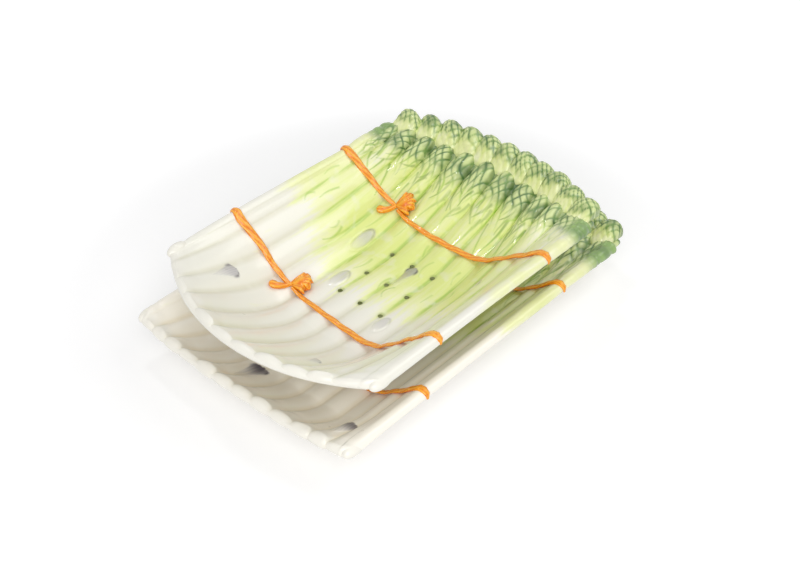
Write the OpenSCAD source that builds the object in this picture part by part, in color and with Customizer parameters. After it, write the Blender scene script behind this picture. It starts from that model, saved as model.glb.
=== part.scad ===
// Asparagus serving set in glazed earthenware: a drainer dish on feet that stands in a tray.
// The stalks lie along Y with their heads toward +Y, and the base of the tray is at Z zero.

/* [Tray] */
// Half width of the tray between its side rims
tray_half_w = 98; // [80:1:115]
// Distance from the middle of the tray to its front edge, at the middle of the edge
tray_front = 162; // [135:0.5:175]
// Distance from the middle of the tray to its back edge, at the middle of the edge
tray_back = 158.5; // [135:0.5:175]
// How far the tray's front edge bows out between the corners
tray_front_bow = 4; // [2:1:20]
// How far the tray's back edge bows out between the corners
tray_back_bow = 9; // [2:1:20]
// Slant of the tray's front edge, in degrees
tray_front_skew = 3; // [-3:0.5:4]
// Depth of the tray from its rim to its floor
tray_depth = 30; // [22:1:34]
// Slope of the tray's side walls above the floor, in degrees
tray_wall_angle = 38; // [34:1:45]
// Radius of the bend between the tray's floor and its side walls
tray_bend_r = 22; // [15:1:30]
// Length over which the tray's front end curves up
tray_front_run = 46; // [36:1:60]
// Length over which the tray's back end curves up
tray_back_run = 60; // [40:1:75]
// Number of stalks across the tray
tray_stalks = 12; // [9:1:13]

/* [Drainer] */
// Half width of the drainer between its side rims
drainer_half_w = 98; // [80:1:110]
// Distance from the middle of the set to the drainer's front edge
drainer_front = 160; // [130:0.5:165]
// Distance from the middle of the set to the drainer's back edge
drainer_back = 131; // [115:0.5:140]
// How far the drainer's front edge bows out between the corners
drainer_front_bow = 31; // [15:1:40]
// How far the drainer's back edge bows out between the corners
drainer_back_bow = 24; // [15:1:40]
// Depth of the drainer from its rim to its floor
drainer_depth = 45; // [36:1:48]
// Slope of the drainer's side walls above the floor, in degrees
drainer_wall_angle = 41; // [37:1:46]
// Radius of the bend between the drainer's floor and its side walls
drainer_bend_r = 30; // [20:1:36]
// Length over which the drainer's front end curves up
drainer_front_run = 76; // [60:1:84]
// Length over which the drainer's back end curves up
drainer_back_run = 125; // [90:1:130]
// Slant of the drainer's front edge, in degrees
drainer_front_skew = 1; // [-3:0.5:3]
// Number of stalks across the drainer
drainer_stalks = 11; // [9:1:13]
// How far the drainer's row of stalks is set off toward its far side
drainer_stalk_shift = 8; // [0:0.5:9]
// Height of the drainer's floor above the tray's floor
drainer_lift = 26.5; // [22:0.5:32]

/* [Clay] */
// Thickness of both dishes under the stalks
clay_t = 5; // [4:0.5:7]
// Height of a stalk above the dish that it lies on
stalk_relief = 2.4; // [1.5:0.1:3.5]
// Height of a stalk along its grooves
groove_t = 0.5; // [0.3:0.1:0.8]
// Gap between pieces that lie side by side or one on the other
piece_gap = 0.25; // [0.2:0.05:0.4]
// Height of a stalk's head above the dish
head_relief = 7; // [4:0.5:9]
// Height of a rim head above the dish
rim_head_relief = 12; // [8:0.5:15]
// How far the rim heads stand out past the back edge
rim_head_overhang = 8; // [2:0.5:10]
// Number of rim heads on the tray
tray_rim_head_count = 12; // [8:1:12]
// Number of rim heads on the drainer
drainer_rim_head_count = 11; // [8:1:12]
// Distance from each side of a dish in to the middle of its last rim head
rim_head_margin = 9; // [8:1:28]
// How far the stalks' cut ends stand out past the tray's front edge
tray_butt_overhang = 3; // [1:0.5:5]
// How far the stalks' cut ends lie back from the drainer's front edge
drainer_butt_setback = 1; // [0.5:0.5:3]

/* [Feet] */
// Height of the ring that the tray stands on
foot_ring_h = 3; // [2:0.5:6]
// Width of the ring that the tray stands on
foot_ring_w = 6; // [4:0.5:9]
// Outer length of the foot ring along the stalks
foot_ring_l = 190; // [140:1:200]
// Outer width of the foot ring across the stalks
foot_ring_across = 104; // [80:1:110]
// Corner radius of the foot ring
foot_ring_r = 26; // [15:1:35]
// Radius of a drainer foot where it joins the dish
foot_top_r = 9; // [7:0.5:11]
// Radius of a drainer foot where it stands in the tray
foot_tip_r = 6; // [4:0.5:7]
// Distance from the middle of the set to the front feet, along the stalks
foot_front_reach = 60; // [45:1:70]
// Distance from the middle of the set to the rear feet, along the stalks
foot_rear_reach = 44; // [30:1:60]

/* [Drain holes] */
// Diameter of a drain hole
hole_d = 3.6; // [2.5:0.1:4]
// Distance between the rows of drain holes
hole_pitch = 28; // [20:1:34]
// Place of the middle row of drain holes, along the stalks
hole_row_y = -13; // [-20:0.5:-5]
// Number of rows of drain holes
hole_rows = 3; // [2:1:4]

/* [Ties] */
// Place of the drainer's front tie, along the stalks
drainer_front_tie_y = -67.5; // [-74:0.5:-55]
// Place of the drainer's rear tie, along the stalks
drainer_rear_tie_y = 47; // [34:0.5:50]
// Place of the tray's front tie, along the stalks
tray_front_tie_y = -79.5; // [-90:0.5:-65]
// Place of the tray's rear tie, along the stalks
tray_rear_tie_y = 70.5; // [55:0.5:82]
// Place of the knots, across the stalks
knot_x = -42; // [-48:1:-20]
// How far a knot's middle lies behind the line of its tie
knot_offset = 7.5; // [6:0.5:10]
// Slant of a knot's axis from the line of the stalks, in degrees
knot_slant = 45; // [30:5:60]
// Width of a tie strand
strand_w = 5.5; // [4:0.5:7]
// Thickness of a tie strand
strand_t = 2.2; // [1.5:0.1:3]
// Radius of the wound knot
knot_r = 7; // [5:0.5:8]
// Length of the wound knot
knot_l = 15; // [11:0.5:18]
// Number of turns round the knot
knot_turns = 4; // [3:1:6]
// Length of the tail that leaves the knot
tail_l = 20; // [12:1:26]

/* [Hidden] */

// Rows of points along a dish, as shares of its length at each column
row_shares = [0, 0.006, 0.02, 0.045, 0.08, 0.13, 0.19, 0.26, 0.36, 0.52, 0.64,
    0.74, 0.81, 0.865, 0.905, 0.936, 0.958, 0.965, 0.976, 0.988, 1];
// Rows near the two ends where the dish's lip is rounded, as shares of its thickness
lip_t_shares = [0.35, 0.8];
// Place of a stalk's second row, and the dish's row that its third one shares
butt_share = 0.01;
butt_row = 2;
// Rows where a stalk's head starts and ends, and row where the rim heads start
head_row = 11;
tip_row = 16;
rim_head_row = 17;
// Height of a stalk from its cut end on, as a share of its full relief
butt_height_shares = [0.4, 1.2, 1.3, 1.15, 1];
// Width and height of a head along its rows, as shares of the stalk's width and of head_relief
head_width_shares = [1, 1, 0.98, 0.88, 0.66, 0.28];
head_height_shares = [0.34, 0.55, 0.82, 1, 0.92, 0.45];
// Width and height of a rim head along its rows, as shares of its spacing and of rim_head_relief
rim_head_width_shares = [0.5, 0.85, 0.96, 0.96, 0.8, 0.4];
rim_head_height_shares = [0.3, 0.75, 1, 1, 0.75, 0.25];
rim_head_overhang_shares = [0.6, 1];
// Columns across a stalk or a head, as shares of its half width, and the rise there
column_shares = [-1, -0.55, 0, 0.55, 1];
column_rise_shares = [0, 0.8, 1, 0.8, 0];
// Rise across a tie strand, as a share of its thickness
strand_columns = [-0.5, 0, 0.5];
strand_rise_shares = [0.35, 1, 0.35];
// Angles round a side rim on the upper and on the lower side, in degrees
rim_top_angles = [50, 100];
rim_under_angles = [166, 150];
rim_stalk_angles = [50, 100, 145];
// Power of the curve at the ends of a dish
end_power = 1.5;
// Smallest step that is used to find a slope
slope_step = clay_t / 50;
// Length by which a cut runs past the piece that it cuts
overrun = clay_t;
// Facets round a foot, a hole or a corner
round_fn = 48;
// Distance between a strand's rows, as a share of a stalk's width
strand_pitch_share = 0.5;
// Places along a tail, as shares of its length, and its width there as shares of strand_w
tail_shares = [0, 0.35, 0.7, 1];
tail_width_shares = [0.7, 0.95, 1, 0.6];
// Slant of a tail from the line of its tie, in degrees
tail_angle = 52;
// Place of a tail's root beside the knot, as shares of a strand's width
tail_root_shares = [0.2, 1.6];
// Distance from a knot's middle to the strands beside it, as a share of a strand's width
strand_end_share = 1.2;
// Rows of a strand round the rim, and how much it narrows there, as a share of its width
hook_rows = 3;
hook_narrow_share = 0.4;
// How far round the rim a tie reaches, in degrees
strand_hook_angle = 125;
// Depth of the furrows between a knot's turns, as a share of the knot's radius
furrow_share = 0.14;
// Narrowing of a knot toward its ends, as a share of its radius
knot_end_share = 0.22;
// Reach of a knot's tapered underside, as a share of the distance to its corners
knot_reach_share = 0.75;
// Rounding of a foot's lower edge, as a share of its radius
foot_round_share = 0.3;

tray_floor_z = foot_ring_h + clay_t;
drainer_floor_z = tray_floor_z + drainer_lift;
rim_r = clay_t / 2;

// One list of sizes for each dish, read by the functions below it
TRAY = [tray_half_w, tray_depth, tray_wall_angle, tray_bend_r, tray_floor_z,
    tray_front, tray_front_bow, tray_front_run, tray_back, tray_back_bow, tray_back_run,
    tray_front_skew, tray_stalks, 0, tray_butt_overhang, tray_rim_head_count];
DRAINER = [drainer_half_w, drainer_depth, drainer_wall_angle, drainer_bend_r, drainer_floor_z,
    drainer_front, drainer_front_bow, drainer_front_run, drainer_back, drainer_back_bow, drainer_back_run,
    drainer_front_skew, drainer_stalks, drainer_stalk_shift, -drainer_butt_setback, drainer_rim_head_count];
function half_w(d) = d[0];
function depth(d) = d[1];
function wall_angle(d) = d[2];
function bend_r(d) = d[3];
function floor_z(d) = d[4];
function front(d) = d[5];
function front_bow(d) = d[6];
function front_run(d) = d[7];
function back(d) = d[8];
function back_bow(d) = d[9];
function back_run(d) = d[10];
function front_skew(d) = d[11];
function stalks(d) = d[12];
function shift(d) = d[13];
function butt_overhang(d) = d[14];
function rim_head_count(d) = d[15];

// Names of the nodes that repeat
function two_digits(k) = str(k < 10 ? "0" : "", k);
function stalk_name(dish, k) = str(dish, "_stalk_", two_digits(k));
function rim_head_name(k) = str("drainer_rim_head_", two_digits(k));
function tie_names(tie) = [for (piece = ["far_strand", "knot", "tail", "near_strand"]) str(tie, "_", piece)];

// Cross-section of a dish: a flat floor, a bend and a straight wall, by the length s along it
function wall_len(d) = (depth(d) - bend_r(d) * (1 - cos(wall_angle(d)))) / sin(wall_angle(d));
function bend_len(d) = bend_r(d) * wall_angle(d) * PI / 180;
function floor_half(d) = half_w(d) - bend_r(d) * sin(wall_angle(d)) - wall_len(d) * cos(wall_angle(d));
function side_s(d) = floor_half(d) + bend_len(d) + wall_len(d);
function bend_turn(d, s) = min(max(abs(s) - floor_half(d), 0) / bend_r(d) * 180 / PI, wall_angle(d));
function on_wall(d, s) = max(abs(s) - floor_half(d) - bend_len(d), 0);
function side_x(d, s) = sign(s) * (min(abs(s), floor_half(d)) + bend_r(d) * sin(bend_turn(d, s))
    + on_wall(d, s) * cos(wall_angle(d)));
function side_rise(d, s) = bend_r(d) * (1 - cos(bend_turn(d, s))) + on_wall(d, s) * sin(wall_angle(d));

// Ends of a dish: bowed edges in plan, and a floor that curves up to the rim
function front_y(d, x) = front_bow(d) * pow(x / half_w(d), 2) + x * tan(front_skew(d)) - front(d);
function back_y(d, x) = back(d) - back_bow(d) * pow(x / half_w(d), 2);
function length_at(d, x) = back_y(d, x) - front_y(d, x);
function end_rise(d, x, y) = pow(max(
    (front_y(d, x) + front_run(d) - y) / front_run(d),
    (y - back_y(d, x) + back_run(d)) / back_run(d), 0), end_power);
function surface_z(d, s, x, y) = floor_z(d) + depth(d) * (1 - (1 - side_rise(d, s) / depth(d))
    * (1 - end_rise(d, x, y)));
function on_surface(d, s, y) = [side_x(d, s), y, surface_z(d, s, side_x(d, s), y)];

// Direction square to a dish's upper surface, and direction out over its side rim
function unit(v) = v / norm(v);
function clamp_s(d, s) = min(max(s, -side_s(d)), side_s(d));
function along_s(d, s, y) = on_surface(d, clamp_s(d, s + slope_step), y)
    - on_surface(d, clamp_s(d, s - slope_step), y);
function along_y(d, s, y) = on_surface(d, s, y + slope_step) - on_surface(d, s, y - slope_step);
function normal(d, s, y) = unit(cross(along_s(d, s, y), along_y(d, s, y)));
function outward(d, s, y) = unit(along_s(d, s, y)) * sign(s);

// A point h above a dish's upper surface, at the length s across it and the place y along it
function raised(d, s, y, h) = on_surface(d, s, y) + h * normal(d, s, y);
// A point h outside a dish's rounded side rim, at an angle from the top of the wall
function round_rim(d, side, y, angle, h) =
    let (s = side * side_s(d))
    raised(d, s, y, -rim_r) + (rim_r + h) * (cos(angle) * normal(d, s, y) + sin(angle) * outward(d, s, y));
// A place along the dish at the share v of the length of the column at s
function y_at(d, s, v) = front_y(d, side_x(d, s)) + v * length_at(d, side_x(d, s));
function at_share(d, s, v, h) = raised(d, s, y_at(d, s, v), h);
function rim_at_share(d, side, v, angle, h) = round_rim(d, side, y_at(d, side * side_s(d), v), angle, h);

// Grooves between the stalks, by number from the far rim, and the middle of each stalk
function pitch(d) = 2 * side_s(d) / stalks(d);
function groove_s(d, k) = k == 0 ? -side_s(d) : k == stalks(d) ? side_s(d)
    : pitch(d) * (k - stalks(d) / 2) - shift(d);
function stalk_s(d, k) = (groove_s(d, k - 1) + groove_s(d, k)) / 2;
// Columns of points across a dish: its grooves and the middles of its stalks
function columns(d) = [for (k = [0:2 * stalks(d)])
    k % 2 == 0 ? groove_s(d, k / 2) : stalk_s(d, (k + 1) / 2)];
// A point h above the dish's flat facets, which run straight from column to column
function on_facets(d, s, v, h) =
    let (
        cols = columns(d),
        i = max([for (i = [0:len(cols) - 2]) if (cols[i] <= s || i == 0) i]),
        t = (s - cols[i]) / (cols[i + 1] - cols[i])
    )
    at_share(d, cols[i], v, h) * (1 - t) + at_share(d, cols[i + 1], v, h) * t;
// A place y along the dish in rows: the number of the row before it, and the share to the next
function row_at(d, s, y) =
    let (
        v = (y - front_y(d, side_x(d, s))) / length_at(d, side_x(d, s)),
        r = max([for (r = [0:len(row_shares) - 2]) if (row_shares[r] <= v || r == 0) r])
    )
    r + (v - row_shares[r]) / (row_shares[r + 1] - row_shares[r]);
// The same at a place y, between the rows that lie before and behind it
function on_lattice(d, s, y, h) =
    let (row = row_at(d, s, y), r = floor(row), t = row - r)
    on_facets(d, s, row_shares[r], h) * (1 - t) + on_facets(d, s, row_shares[r + 1], h) * t;
// The length across the dish at which its surface lies a distance x from the middle line
function s_at_x(d, x) =
    let (
        past_floor = abs(x) - floor_half(d),
        bend_w = bend_r(d) * sin(wall_angle(d))
    )
    sign(x) * (past_floor <= 0 ? abs(x)
        : past_floor < bend_w ? floor_half(d) + bend_r(d) * asin(past_floor / bend_r(d)) * PI / 180
        : floor_half(d) + bend_len(d) + (past_floor - bend_w) / cos(wall_angle(d)));

// A closed solid between two grids of points with the same rows and columns
module between_grids(top, under) {
    rows = len(top);
    cols = len(top[0]);
    function at(r, c) = r * cols + c;
    function low(r, c) = rows * cols + at(r, c);
    function quad(a, b, c, e) = [[a, b, c], [a, c, e]];
    polyhedron(
        points = concat([for (row = top) each row], [for (row = under) each row]),
        faces = concat(
            [for (r = [0:rows - 2], c = [0:cols - 2])
                each quad(at(r, c), at(r + 1, c), at(r + 1, c + 1), at(r, c + 1))],
            [for (r = [0:rows - 2], c = [0:cols - 2])
                each quad(low(r, c), low(r, c + 1), low(r + 1, c + 1), low(r + 1, c))],
            [for (r = [0:rows - 2])
                each quad(at(r, 0), low(r, 0), low(r + 1, 0), at(r + 1, 0))],
            [for (r = [0:rows - 2])
                each quad(at(r + 1, cols - 1), low(r + 1, cols - 1), low(r, cols - 1), at(r, cols - 1))],
            [for (c = [0:cols - 2])
                each quad(at(0, c + 1), low(0, c + 1), low(0, c), at(0, c))],
            [for (c = [0:cols - 2])
                each quad(at(rows - 1, c), low(rows - 1, c), low(rows - 1, c + 1), at(rows - 1, c + 1))]
        )
    );
}

// The dish: a slab of even thickness with rounded rims and lips
function lip_share(r) =
    let (last = len(row_shares) - 1, from_end = min(r, last - r))
    from_end < len(lip_t_shares) ? lip_t_shares[from_end] : 1;
function dish_row(d, r, upper) =
    let (
        v = row_shares[r],
        half_t = rim_r * lip_share(r),
        h = upper ? half_t - rim_r : -half_t - rim_r,
        angles = upper ? rim_top_angles : rim_under_angles,
        n = len(angles)
    )
    concat(
        [for (i = [n - 1:-1:0]) rim_at_share(d, -1, v, angles[i], half_t - rim_r)],
        [for (s = columns(d)) at_share(d, s, v, h)],
        [for (i = [0:n - 1]) rim_at_share(d, 1, v, angles[i], half_t - rim_r)]
    );
module dish(d) {
    rows = [0:len(row_shares) - 1];
    between_grids([for (r = rows) dish_row(d, r, true)], [for (r = rows) dish_row(d, r, false)]);
}

// A stalk: its underside follows the dish between its grooves and its upper side is domed
stalk_rows = tip_row - butt_row + 3;
function stalk_v(d, k, i) =
    i == 0 ? -butt_overhang(d) / length_at(d, side_x(d, stalk_s(d, k)))
    : i == 1 ? butt_share
    : row_shares[i + butt_row - 2];
function head_index(i) = i + butt_row - 2 - head_row;
function stalk_rise(i) =
    i < len(butt_height_shares) ? butt_height_shares[i] * stalk_relief
    : head_index(i) < 0 ? stalk_relief
    : head_height_shares[head_index(i)] * head_relief;
function stalk_width_share(i) = head_index(i) < 0 ? 1 : head_width_shares[head_index(i)];
function edge_s(d, k, side) =
    side < 0 ? groove_s(d, k - 1) + (k == 1 ? 0 : piece_gap / 2)
    : groove_s(d, k) - (k == stalks(d) ? 0 : piece_gap / 2);
// Place of a column at the share c of the way from a stalk's middle to its edge
function column_s(d, k, c) = stalk_s(d, k) + abs(c) * (edge_s(d, k, c) - stalk_s(d, k));
function stalk_row(d, k, i, upper) =
    [for (j = [0:len(column_shares) - 1])
        let (rise = (stalk_rise(i) - groove_t) * column_rise_shares[j])
        on_facets(d, column_s(d, k, column_shares[j] * stalk_width_share(i)), stalk_v(d, k, i),
            piece_gap + (upper ? groove_t + rise : 0))
    ];
// A stalk on a rim keeps its height to the wall's top edge and wraps round it
function wrap_row(d, side, v, rise, upper) =
    [for (angle = rim_stalk_angles)
        let (share = cos(90 * angle / rim_stalk_angles[len(rim_stalk_angles) - 1]))
        rim_at_share(d, side, v, angle, piece_gap + (upper ? groove_t + rise * share : 0))];
function rim_stalk_row(d, k, i, upper) =
    let (
        side = k == 1 ? -1 : 1,
        rise = min(stalk_rise(i), butt_height_shares[2] * stalk_relief) - groove_t,
        inner = [for (j = [0:len(column_shares) - 1])
            let (crest = column_shares[j] * side >= 0 ? 1 : column_rise_shares[j])
            on_facets(d, column_s(d, k, column_shares[j]), stalk_v(d, k, i),
                piece_gap + (upper ? groove_t + rise * crest : 0))],
        wrap = wrap_row(d, side, stalk_v(d, k, i), rise, upper)
    )
    side > 0 ? concat(inner, wrap) : concat([for (j = [len(wrap) - 1:-1:0]) wrap[j]], inner);
module stalk(d, k) {
    on_rim = k == 1 || k == stalks(d);
    rows = [0:stalk_rows - 1];
    color(k % 2 == 0 ? "#dfe8a8" : "#d3df90")
    if (on_rim)
        between_grids(
            [for (i = rows) rim_stalk_row(d, k, i, true)],
            [for (i = rows) rim_stalk_row(d, k, i, false)]);
    else
        between_grids(
            [for (i = rows) stalk_row(d, k, i, true)],
            [for (i = rows) stalk_row(d, k, i, false)]);
}

// A rim head: a bud that stands on the back edge and leans out past it
rim_head_rows = len(rim_head_width_shares);
function rim_head_reach(d) = half_w(d) - rim_head_margin;
function rim_head_spacing(d) = 2 * rim_head_reach(d) / (rim_head_count(d) - 1);
function rim_head_x(d, k) = (k - 1) * rim_head_spacing(d) - rim_head_reach(d);
function rim_head_v(d, x, i) =
    let (past = rim_head_row + i - len(row_shares))
    past < 0 ? row_shares[rim_head_row + i]
    : 1 + rim_head_overhang * rim_head_overhang_shares[past] / length_at(d, x);
function rim_head_points(d, k, i, upper) =
    [for (j = [0:len(column_shares) - 1])
        let (
            half = rim_head_width_shares[i] * (rim_head_spacing(d) - piece_gap) / 2,
            x = min(max(rim_head_x(d, k) + column_shares[j] * half, -half_w(d)), half_w(d)),
            rise = rim_head_height_shares[i] * rim_head_relief * column_rise_shares[j]
        )
        on_facets(d, s_at_x(d, x), rim_head_v(d, x, i), piece_gap + (upper ? groove_t + rise : 0))
    ];
module rim_head(d, k) {
    rows = [0:rim_head_rows - 1];
    color("#5f8a3c")
    between_grids(
        [for (i = rows) rim_head_points(d, k, i, true)],
        [for (i = rows) rim_head_points(d, k, i, false)]);
}

// Height above the dish of what lies over the stalks' crests at a place
function crest_h(d, s, y) =
    let (
        row = row_at(d, clamp_s(d, s), y),
        i = floor(row) - butt_row + 2,
        t = row - floor(row)
    )
    2 * piece_gap + max(stalk_relief, stalk_rise(i) * (1 - t) + stalk_rise(i + 1) * t);
// A strand of a tie: a domed band along a list of places [s, y, width], over the stalks' crests
function place(d, s, y, h) =
    abs(s) <= side_s(d) ? on_lattice(d, s, y, h)
    : round_rim(d, sign(s), y, (abs(s) - side_s(d)) / rim_r * 180 / PI, h);
function heading(path, i) =
    let (a = path[max(i - 1, 0)], b = path[min(i + 1, len(path) - 1)])
    unit([b[0] - a[0], b[1] - a[1]]);
function strand_row(d, path, i, upper) =
    let (p = path[i], along = heading(path, i))
    [for (j = [0:len(strand_columns) - 1])
        let (off = strand_columns[j] * p[2])
        place(d, p[0] - off * along[1], p[1] + off * along[0],
            crest_h(d, p[0], p[1] + strand_w / 2) + (upper ? strand_t * strand_rise_shares[j] : 0))
    ];
module strand(d, path) {
    rows = [0:len(path) - 1];
    color("#ee8a1c")
    between_grids(
        [for (i = rows) strand_row(d, path, i, false)],
        [for (i = rows) strand_row(d, path, i, true)]);
}
function strand_path(d, s_from, s_to, y) =
    let (
        n = ceil(abs(s_to - s_from) / (pitch(d) * strand_pitch_share)),
        hook = rim_r * strand_hook_angle * PI / 180,
        outer = abs(s_to) > abs(s_from) ? s_to : s_from,
        body = [for (i = [0:n]) [s_from + (s_to - s_from) * i / n, y, strand_w]],
        over = [for (i = [1:hook_rows])
            let (share = i / hook_rows)
            [outer + sign(outer) * hook * share, y, strand_w * (1 - hook_narrow_share * share)]]
    )
    outer == s_to ? concat(body, over) : concat([for (i = [hook_rows - 1:-1:0]) over[i]], body);

// A knot: turns side by side round a slanted axis, cut flat where it lies on the stalks
knot_reach = norm([knot_l / 2, knot_r]);
function knot_outline(n) = [for (i = [0:4 * n])
    let (
        along = i / (4 * n),
        furrow = i % 4 == 0 ? furrow_share : i % 4 == 2 ? 0 : furrow_share / 3,
        taper = knot_end_share * pow(2 * along - 1, 2)
    )
    [knot_r * (1 - furrow - taper), knot_l * (along - 1 / 2)]];
// Room that a knot's flat underside needs over the bend beside the floor
function knot_seat_h(d, y) =
    let (
        reach = knot_reach * knot_reach_share,
        in_bend = min(reach, max(abs(knot_x) + reach - floor_half(d), 0))
    )
    crest_h(d, knot_x, y + reach) + pow(in_bend, 2) / (2 * bend_r(d));
module knot(d, tie_y) {
    y = tie_y + knot_offset;
    color("#e87f14")
    translate(on_lattice(d, knot_x, y, knot_seat_h(d, y)))
    lean_to(normal(d, knot_x, y))
    rotate([0, 0, knot_slant])
    intersection() {
        rotate([-90, 0, 0])
        rotate_extrude($fn = round_fn)
        polygon(concat([[0, -knot_l / 2]], knot_outline(knot_turns), [[0, knot_l / 2]]));
        translate([-knot_reach, -knot_reach, 0])
        cube([2 * knot_reach, 2 * knot_reach, knot_reach]);
    }
}

// A tail: a short strand that leaves the knot at a slant
function tail_path(y) =
    [for (i = [0:len(tail_shares) - 1])
        [knot_x - tail_root_shares[0] * strand_w - tail_l * tail_shares[i] * cos(tail_angle),
            y - tail_root_shares[1] * strand_w - tail_l * tail_shares[i] * sin(tail_angle),
            strand_w * tail_width_shares[i]]];

module tie(d, name, y) {
    names = tie_names(name);
    side = side_s(d);
    reach = strand_w * strand_end_share;
    strand(d, strand_path(d, -side, knot_x - reach, y));
    knot(d, y);
    strand(d, tail_path(y));
    strand(d, strand_path(d, knot_x + reach, side, y));
}

// The ring that the tray stands on, with round corners
module round_corners(across, along, r) {
    square([across - 2 * r, along], center = true);
    square([across, along - 2 * r], center = true);
    for (x = [-1, 1], y = [-1, 1])
        translate([x * (across / 2 - r), y * (along / 2 - r)])
        circle(r, $fn = round_fn);
}
module tray_foot_ring() {
    color("#f2efe2")
    linear_extrude(foot_ring_h - piece_gap)
    difference() {
        round_corners(foot_ring_across, foot_ring_l, foot_ring_r);
        round_corners(foot_ring_across - 2 * foot_ring_w, foot_ring_l - 2 * foot_ring_w,
            foot_ring_r - foot_ring_w);
    }
}

// The four feet that carry the drainer on the crests of the tray's stalks
foot_low_z = tray_floor_z + 2 * piece_gap + stalk_relief;
foot_stalk = floor(tray_stalks / 2) + 2;
foot_x = stalk_s(TRAY, foot_stalk);
// Turns the Z axis to a direction that is square to a dish
module lean_to(up) {
    rotate([-asin(up[1]), atan2(up[0], up[2]), 0])
    children();
}
// A foot's top lies along the dish's underside, also where that slopes
module drainer_foot(x, y) {
    s = s_at_x(DRAINER, x);
    seat = raised(DRAINER, s, y, -clay_t - piece_gap);
    h = seat[2] - foot_low_z;
    r = foot_tip_r * foot_round_share;
    difference() {
        translate([x, y, foot_low_z])
        rotate_extrude($fn = round_fn)
        polygon([[0, 0], [foot_tip_r - r, 0], [foot_tip_r, r], [foot_top_r, h],
            [foot_top_r, h + foot_top_r], [0, h + foot_top_r]]);
        translate(seat)
        lean_to(normal(DRAINER, s, y))
        translate([-2 * foot_top_r, -2 * foot_top_r, 0])
        cube([4 * foot_top_r, 4 * foot_top_r, 4 * foot_top_r]);
    }
}
module drainer_feet() {
    color("#f2efe2")
    for (x = [-foot_x, foot_x], y = [-foot_front_reach, foot_rear_reach])
        drainer_foot(x, y);
}

// Drain holes, three to a groove
hole_middle = ceil(drainer_stalks / 2);
hole_grooves = [hole_middle - 1:hole_middle + 1];
module drain_holes() {
    for (k = hole_grooves, r = [0:hole_rows - 1])
        translate([side_x(DRAINER, groove_s(DRAINER, k)),
            hole_row_y + (r - (hole_rows - 1) / 2) * hole_pitch,
            drainer_floor_z - clay_t - overrun])
        cylinder(d = hole_d, h = clay_t + stalk_relief + 2 * overrun, $fn = round_fn);
}

module tray_dish() {
    color("#efeadb") dish(TRAY);
}
module drainer_dish() {
    color("#f3f0e4")
    difference() {
        dish(DRAINER);
        drain_holes();
    }
}
module tray_rim_heads() {
    for (k = [1:tray_rim_head_count]) rim_head(TRAY, k);
}
module drainer_stalk(k) {
    holed = len([for (g = hole_grooves) if (g == k || g == k - 1) g]) > 0;
    if (holed)
        difference() {
            stalk(DRAINER, k);
            drain_holes();
        }
    else
        stalk(DRAINER, k);
}

tray_dish();
tray_foot_ring();
for (k = [1:tray_stalks])
    stalk(TRAY, k);
tray_rim_heads();
tie(TRAY, "tray_front", tray_front_tie_y);
tie(TRAY, "tray_rear", tray_rear_tie_y);
drainer_dish();
drainer_feet();
for (k = [1:drainer_stalks])
    drainer_stalk(k);
for (k = [1:drainer_rim_head_count])
    rim_head(DRAINER, k);
tie(DRAINER, "drainer_front", drainer_front_tie_y);
tie(DRAINER, "drainer_rear", drainer_rear_tie_y);
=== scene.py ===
import logging
import math
from dataclasses import dataclass
from enum import Enum
from typing import Mapping, Sequence

import bmesh
import bpy
import numpy as np
from mathutils import Matrix, Vector
from mathutils.kdtree import KDTree


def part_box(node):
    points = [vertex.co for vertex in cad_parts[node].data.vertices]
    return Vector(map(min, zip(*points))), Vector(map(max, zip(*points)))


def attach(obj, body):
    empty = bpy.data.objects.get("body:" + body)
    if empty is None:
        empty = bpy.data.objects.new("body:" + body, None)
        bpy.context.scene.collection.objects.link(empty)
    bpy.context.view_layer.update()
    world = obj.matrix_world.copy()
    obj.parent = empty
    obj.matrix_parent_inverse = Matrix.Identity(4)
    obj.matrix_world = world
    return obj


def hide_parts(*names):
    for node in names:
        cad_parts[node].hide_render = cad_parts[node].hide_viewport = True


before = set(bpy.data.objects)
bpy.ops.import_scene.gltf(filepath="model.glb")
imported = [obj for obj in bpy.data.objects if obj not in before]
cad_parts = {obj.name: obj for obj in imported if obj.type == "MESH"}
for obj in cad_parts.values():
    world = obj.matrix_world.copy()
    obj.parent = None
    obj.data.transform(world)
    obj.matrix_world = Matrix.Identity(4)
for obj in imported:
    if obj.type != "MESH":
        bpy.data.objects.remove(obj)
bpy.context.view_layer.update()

LOG = logging.getLogger("asparagus_set")
MM = 0.001

Array = np.ndarray
Colour = tuple[float, float, float]
Face = tuple[int, ...]
Socket = bpy.types.NodeSocket
Feed = Socket | float | tuple[float, ...] | bool

WHITE: Colour = (1.0, 1.0, 1.0)
LAMPS_LOOK_AT = (0.0, 0.0, 50 * MM)
STALK_RELIEF = 2.4 * MM
RIM_RELIEF = 3.2 * MM
RIM_WRAP = math.radians(150)
CALM_STALKS = 3.5
PAINT_VALUES = ("along", "green", "groove", "zone", "line", "cell", "grey", "dark", "stroke", "pool")


# Small helpers

def srgb(red: int, green: int, blue: int) -> Colour:
    """A colour given as it shows on a screen, as linear values."""
    return tuple(((c / 255 + 0.055) / 1.055) ** 2.4 if c > 10 else c / 3294.6 for c in (red, green, blue))


def smoothstep(low: float, high: float, value: Array) -> Array:
    """A smooth ramp from 0 at low to 1 at high."""
    t = np.clip((value - low) / (high - low), 0.0, 1.0)
    return t * t * (3 - 2 * t)


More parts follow.
